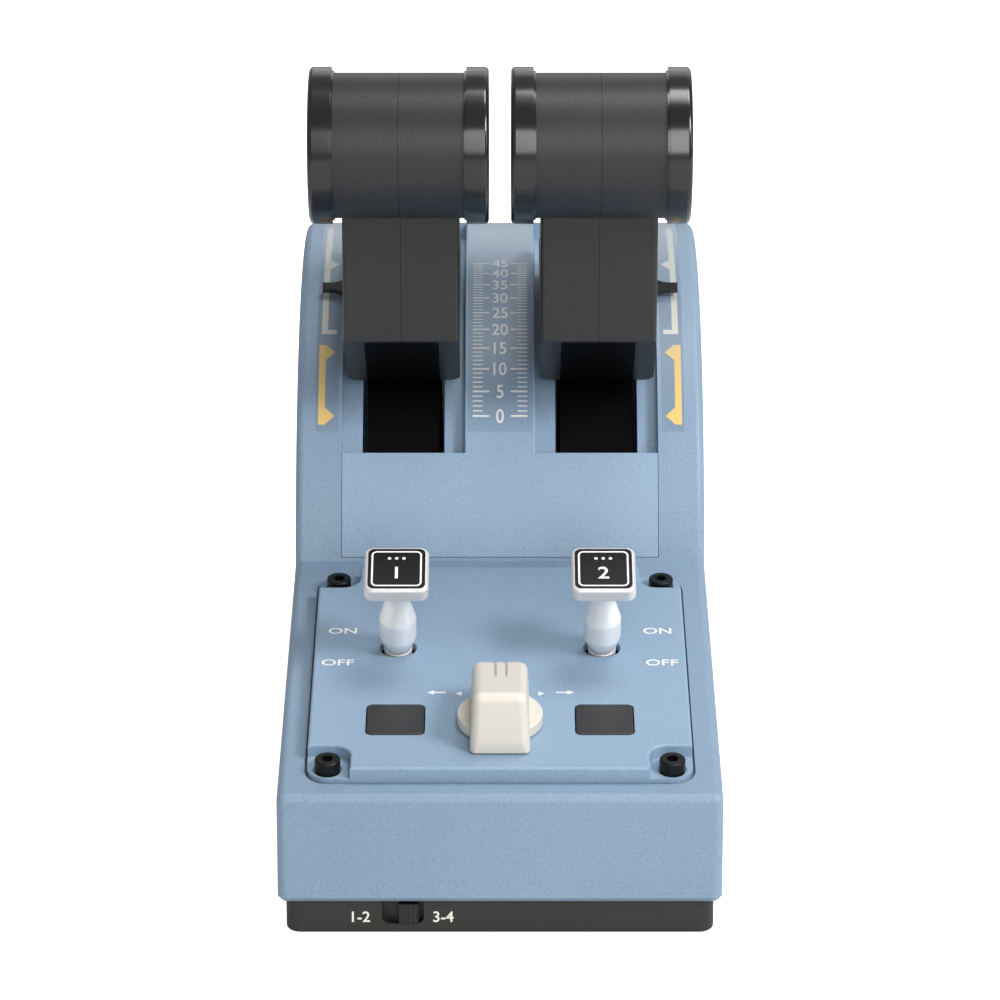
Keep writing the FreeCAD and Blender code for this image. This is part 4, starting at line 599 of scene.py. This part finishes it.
class QuadrantColours(bpy.types.PropertyGroup):
    """The colours a user would change."""
    casing: bpy.props.FloatVectorProperty(
        name="Casing", description="Paint of the casing", subtype="COLOR", size=3,
        min=0, max=1, default=linear(126, 148, 170)[:3])
    cover: bpy.props.FloatVectorProperty(
        name="Covers", description="Paint of the panel and the hump cover", subtype="COLOR", size=3,
        min=0, max=1, default=linear(136, 160, 183)[:3])
    grip: bpy.props.FloatVectorProperty(
        name="Handles", description="Plastic of the lever handles", subtype="COLOR", size=3,
        min=0, max=1, default=linear(33, 33, 35)[:3])
    selector: bpy.props.FloatVectorProperty(
        name="Selector", description="Plastic of the selector knob", subtype="COLOR", size=3,
        min=0, max=1, default=linear(212, 207, 196)[:3])
    film_cover: bpy.props.FloatProperty(
        name="Film", description="How much the clear films hide", subtype="FACTOR",
        min=0, max=1, default=0.1)


class QuadrantSizes(bpy.types.PropertyGroup):
    """The sizes a user would change."""
    numeral_size: bpy.props.FloatProperty(
        name="Scale numerals", description="Type size of the numerals up the strip",
        unit="LENGTH", min=0.001, max=0.01, default=0.0062)
    tick_weight: bpy.props.FloatProperty(
        name="Tick weight", description="Thickness of the ticks, times the usual one",
        min=0.2, max=3, default=1)
    light: bpy.props.FloatProperty(
        name="Light", description="Strength of the lamps, times the usual one",
        min=0.1, max=4, default=1)


class QUADRANT_OT_finishes(bpy.types.Operator):
    """Give every part its material"""
    bl_idname = "quadrant.finishes"
    bl_label = "Finishes"

    def execute(self, context):
        make_finishes(context.scene.quadrant_colours)
        dress_nodes()
        return {"FINISHED"}


class QUADRANT_OT_scale(bpy.types.Operator):
    """Print the ticks and numerals up the strip"""
    bl_idname = "quadrant.scale"
    bl_label = "Scale"

    def execute(self, context):
        build_scale(context.scene.quadrant_sizes)
        return {"FINISHED"}


class QUADRANT_OT_side_marks(bpy.types.Operator):
    """Print the brackets and triangles beside the tracks"""
    bl_idname = "quadrant.side_marks"
    bl_label = "Side marks"

    def execute(self, context):
        build_side_marks()
        return {"FINISHED"}


class QUADRANT_OT_films(bpy.types.Operator):
    """Lay the clear films over the printed marks"""
    bl_idname = "quadrant.films"
    bl_label = "Films"

    def execute(self, context):
        build_films()
        return {"FINISHED"}


class QUADRANT_OT_panel_print(bpy.types.Operator):
    """Print the words and arrows on the panel and the numerals on the tray"""
    bl_idname = "quadrant.panel_print"
    bl_label = "Panel and tray print"

    def execute(self, context):
        build_panel_print()
        build_tray_print()
        return {"FINISHED"}


class QUADRANT_OT_legends(bpy.types.Operator):
    """Print the plates on the toggle caps"""
    bl_idname = "quadrant.legends"
    bl_label = "Toggle legends"

    def execute(self, context):
        build_legends()
        return {"FINISHED"}


class QUADRANT_OT_stage(bpy.types.Operator):
    """Set the floor, the lamps and the camera"""
    bl_idname = "quadrant.stage"
    bl_label = "Stage"

    def execute(self, context):
        build_stage(context.scene.quadrant_sizes.light)
        return {"FINISHED"}


STEPS = (QUADRANT_OT_finishes, QUADRANT_OT_scale, QUADRANT_OT_side_marks, QUADRANT_OT_films,
         QUADRANT_OT_panel_print, QUADRANT_OT_legends, QUADRANT_OT_stage)


class QUADRANT_PT_panel(bpy.types.Panel):
    """Lists the colours, the sizes and the steps"""
    bl_label = "Throttle quadrant"
    bl_space_type = "VIEW_3D"
    bl_region_type = "UI"
    bl_category = "Quadrant"

    def draw(self, context):
        for group in (context.scene.quadrant_colours, context.scene.quadrant_sizes):
            for name in group.__annotations__:
                self.layout.prop(group, name)
        for step in STEPS:
            self.layout.operator(step.bl_idname)


CLASSES = (QuadrantColours, QuadrantSizes, *STEPS, QUADRANT_PT_panel)


def register():
    for item in CLASSES:
        bpy.utils.register_class(item)
    bpy.types.Scene.quadrant_colours = bpy.props.PointerProperty(type=QuadrantColours)
    bpy.types.Scene.quadrant_sizes = bpy.props.PointerProperty(type=QuadrantSizes)


def unregister():
    del bpy.types.Scene.quadrant_sizes
    del bpy.types.Scene.quadrant_colours
    for item in reversed(CLASSES):
        bpy.utils.unregister_class(item)


def main():
    register()
    bpy.ops.quadrant.finishes()
    bpy.ops.quadrant.scale()
    bpy.ops.quadrant.side_marks()
    bpy.ops.quadrant.films()
    bpy.ops.quadrant.panel_print()
    bpy.ops.quadrant.legends()
    bpy.ops.quadrant.stage()


if __name__ == "__main__":
    main()
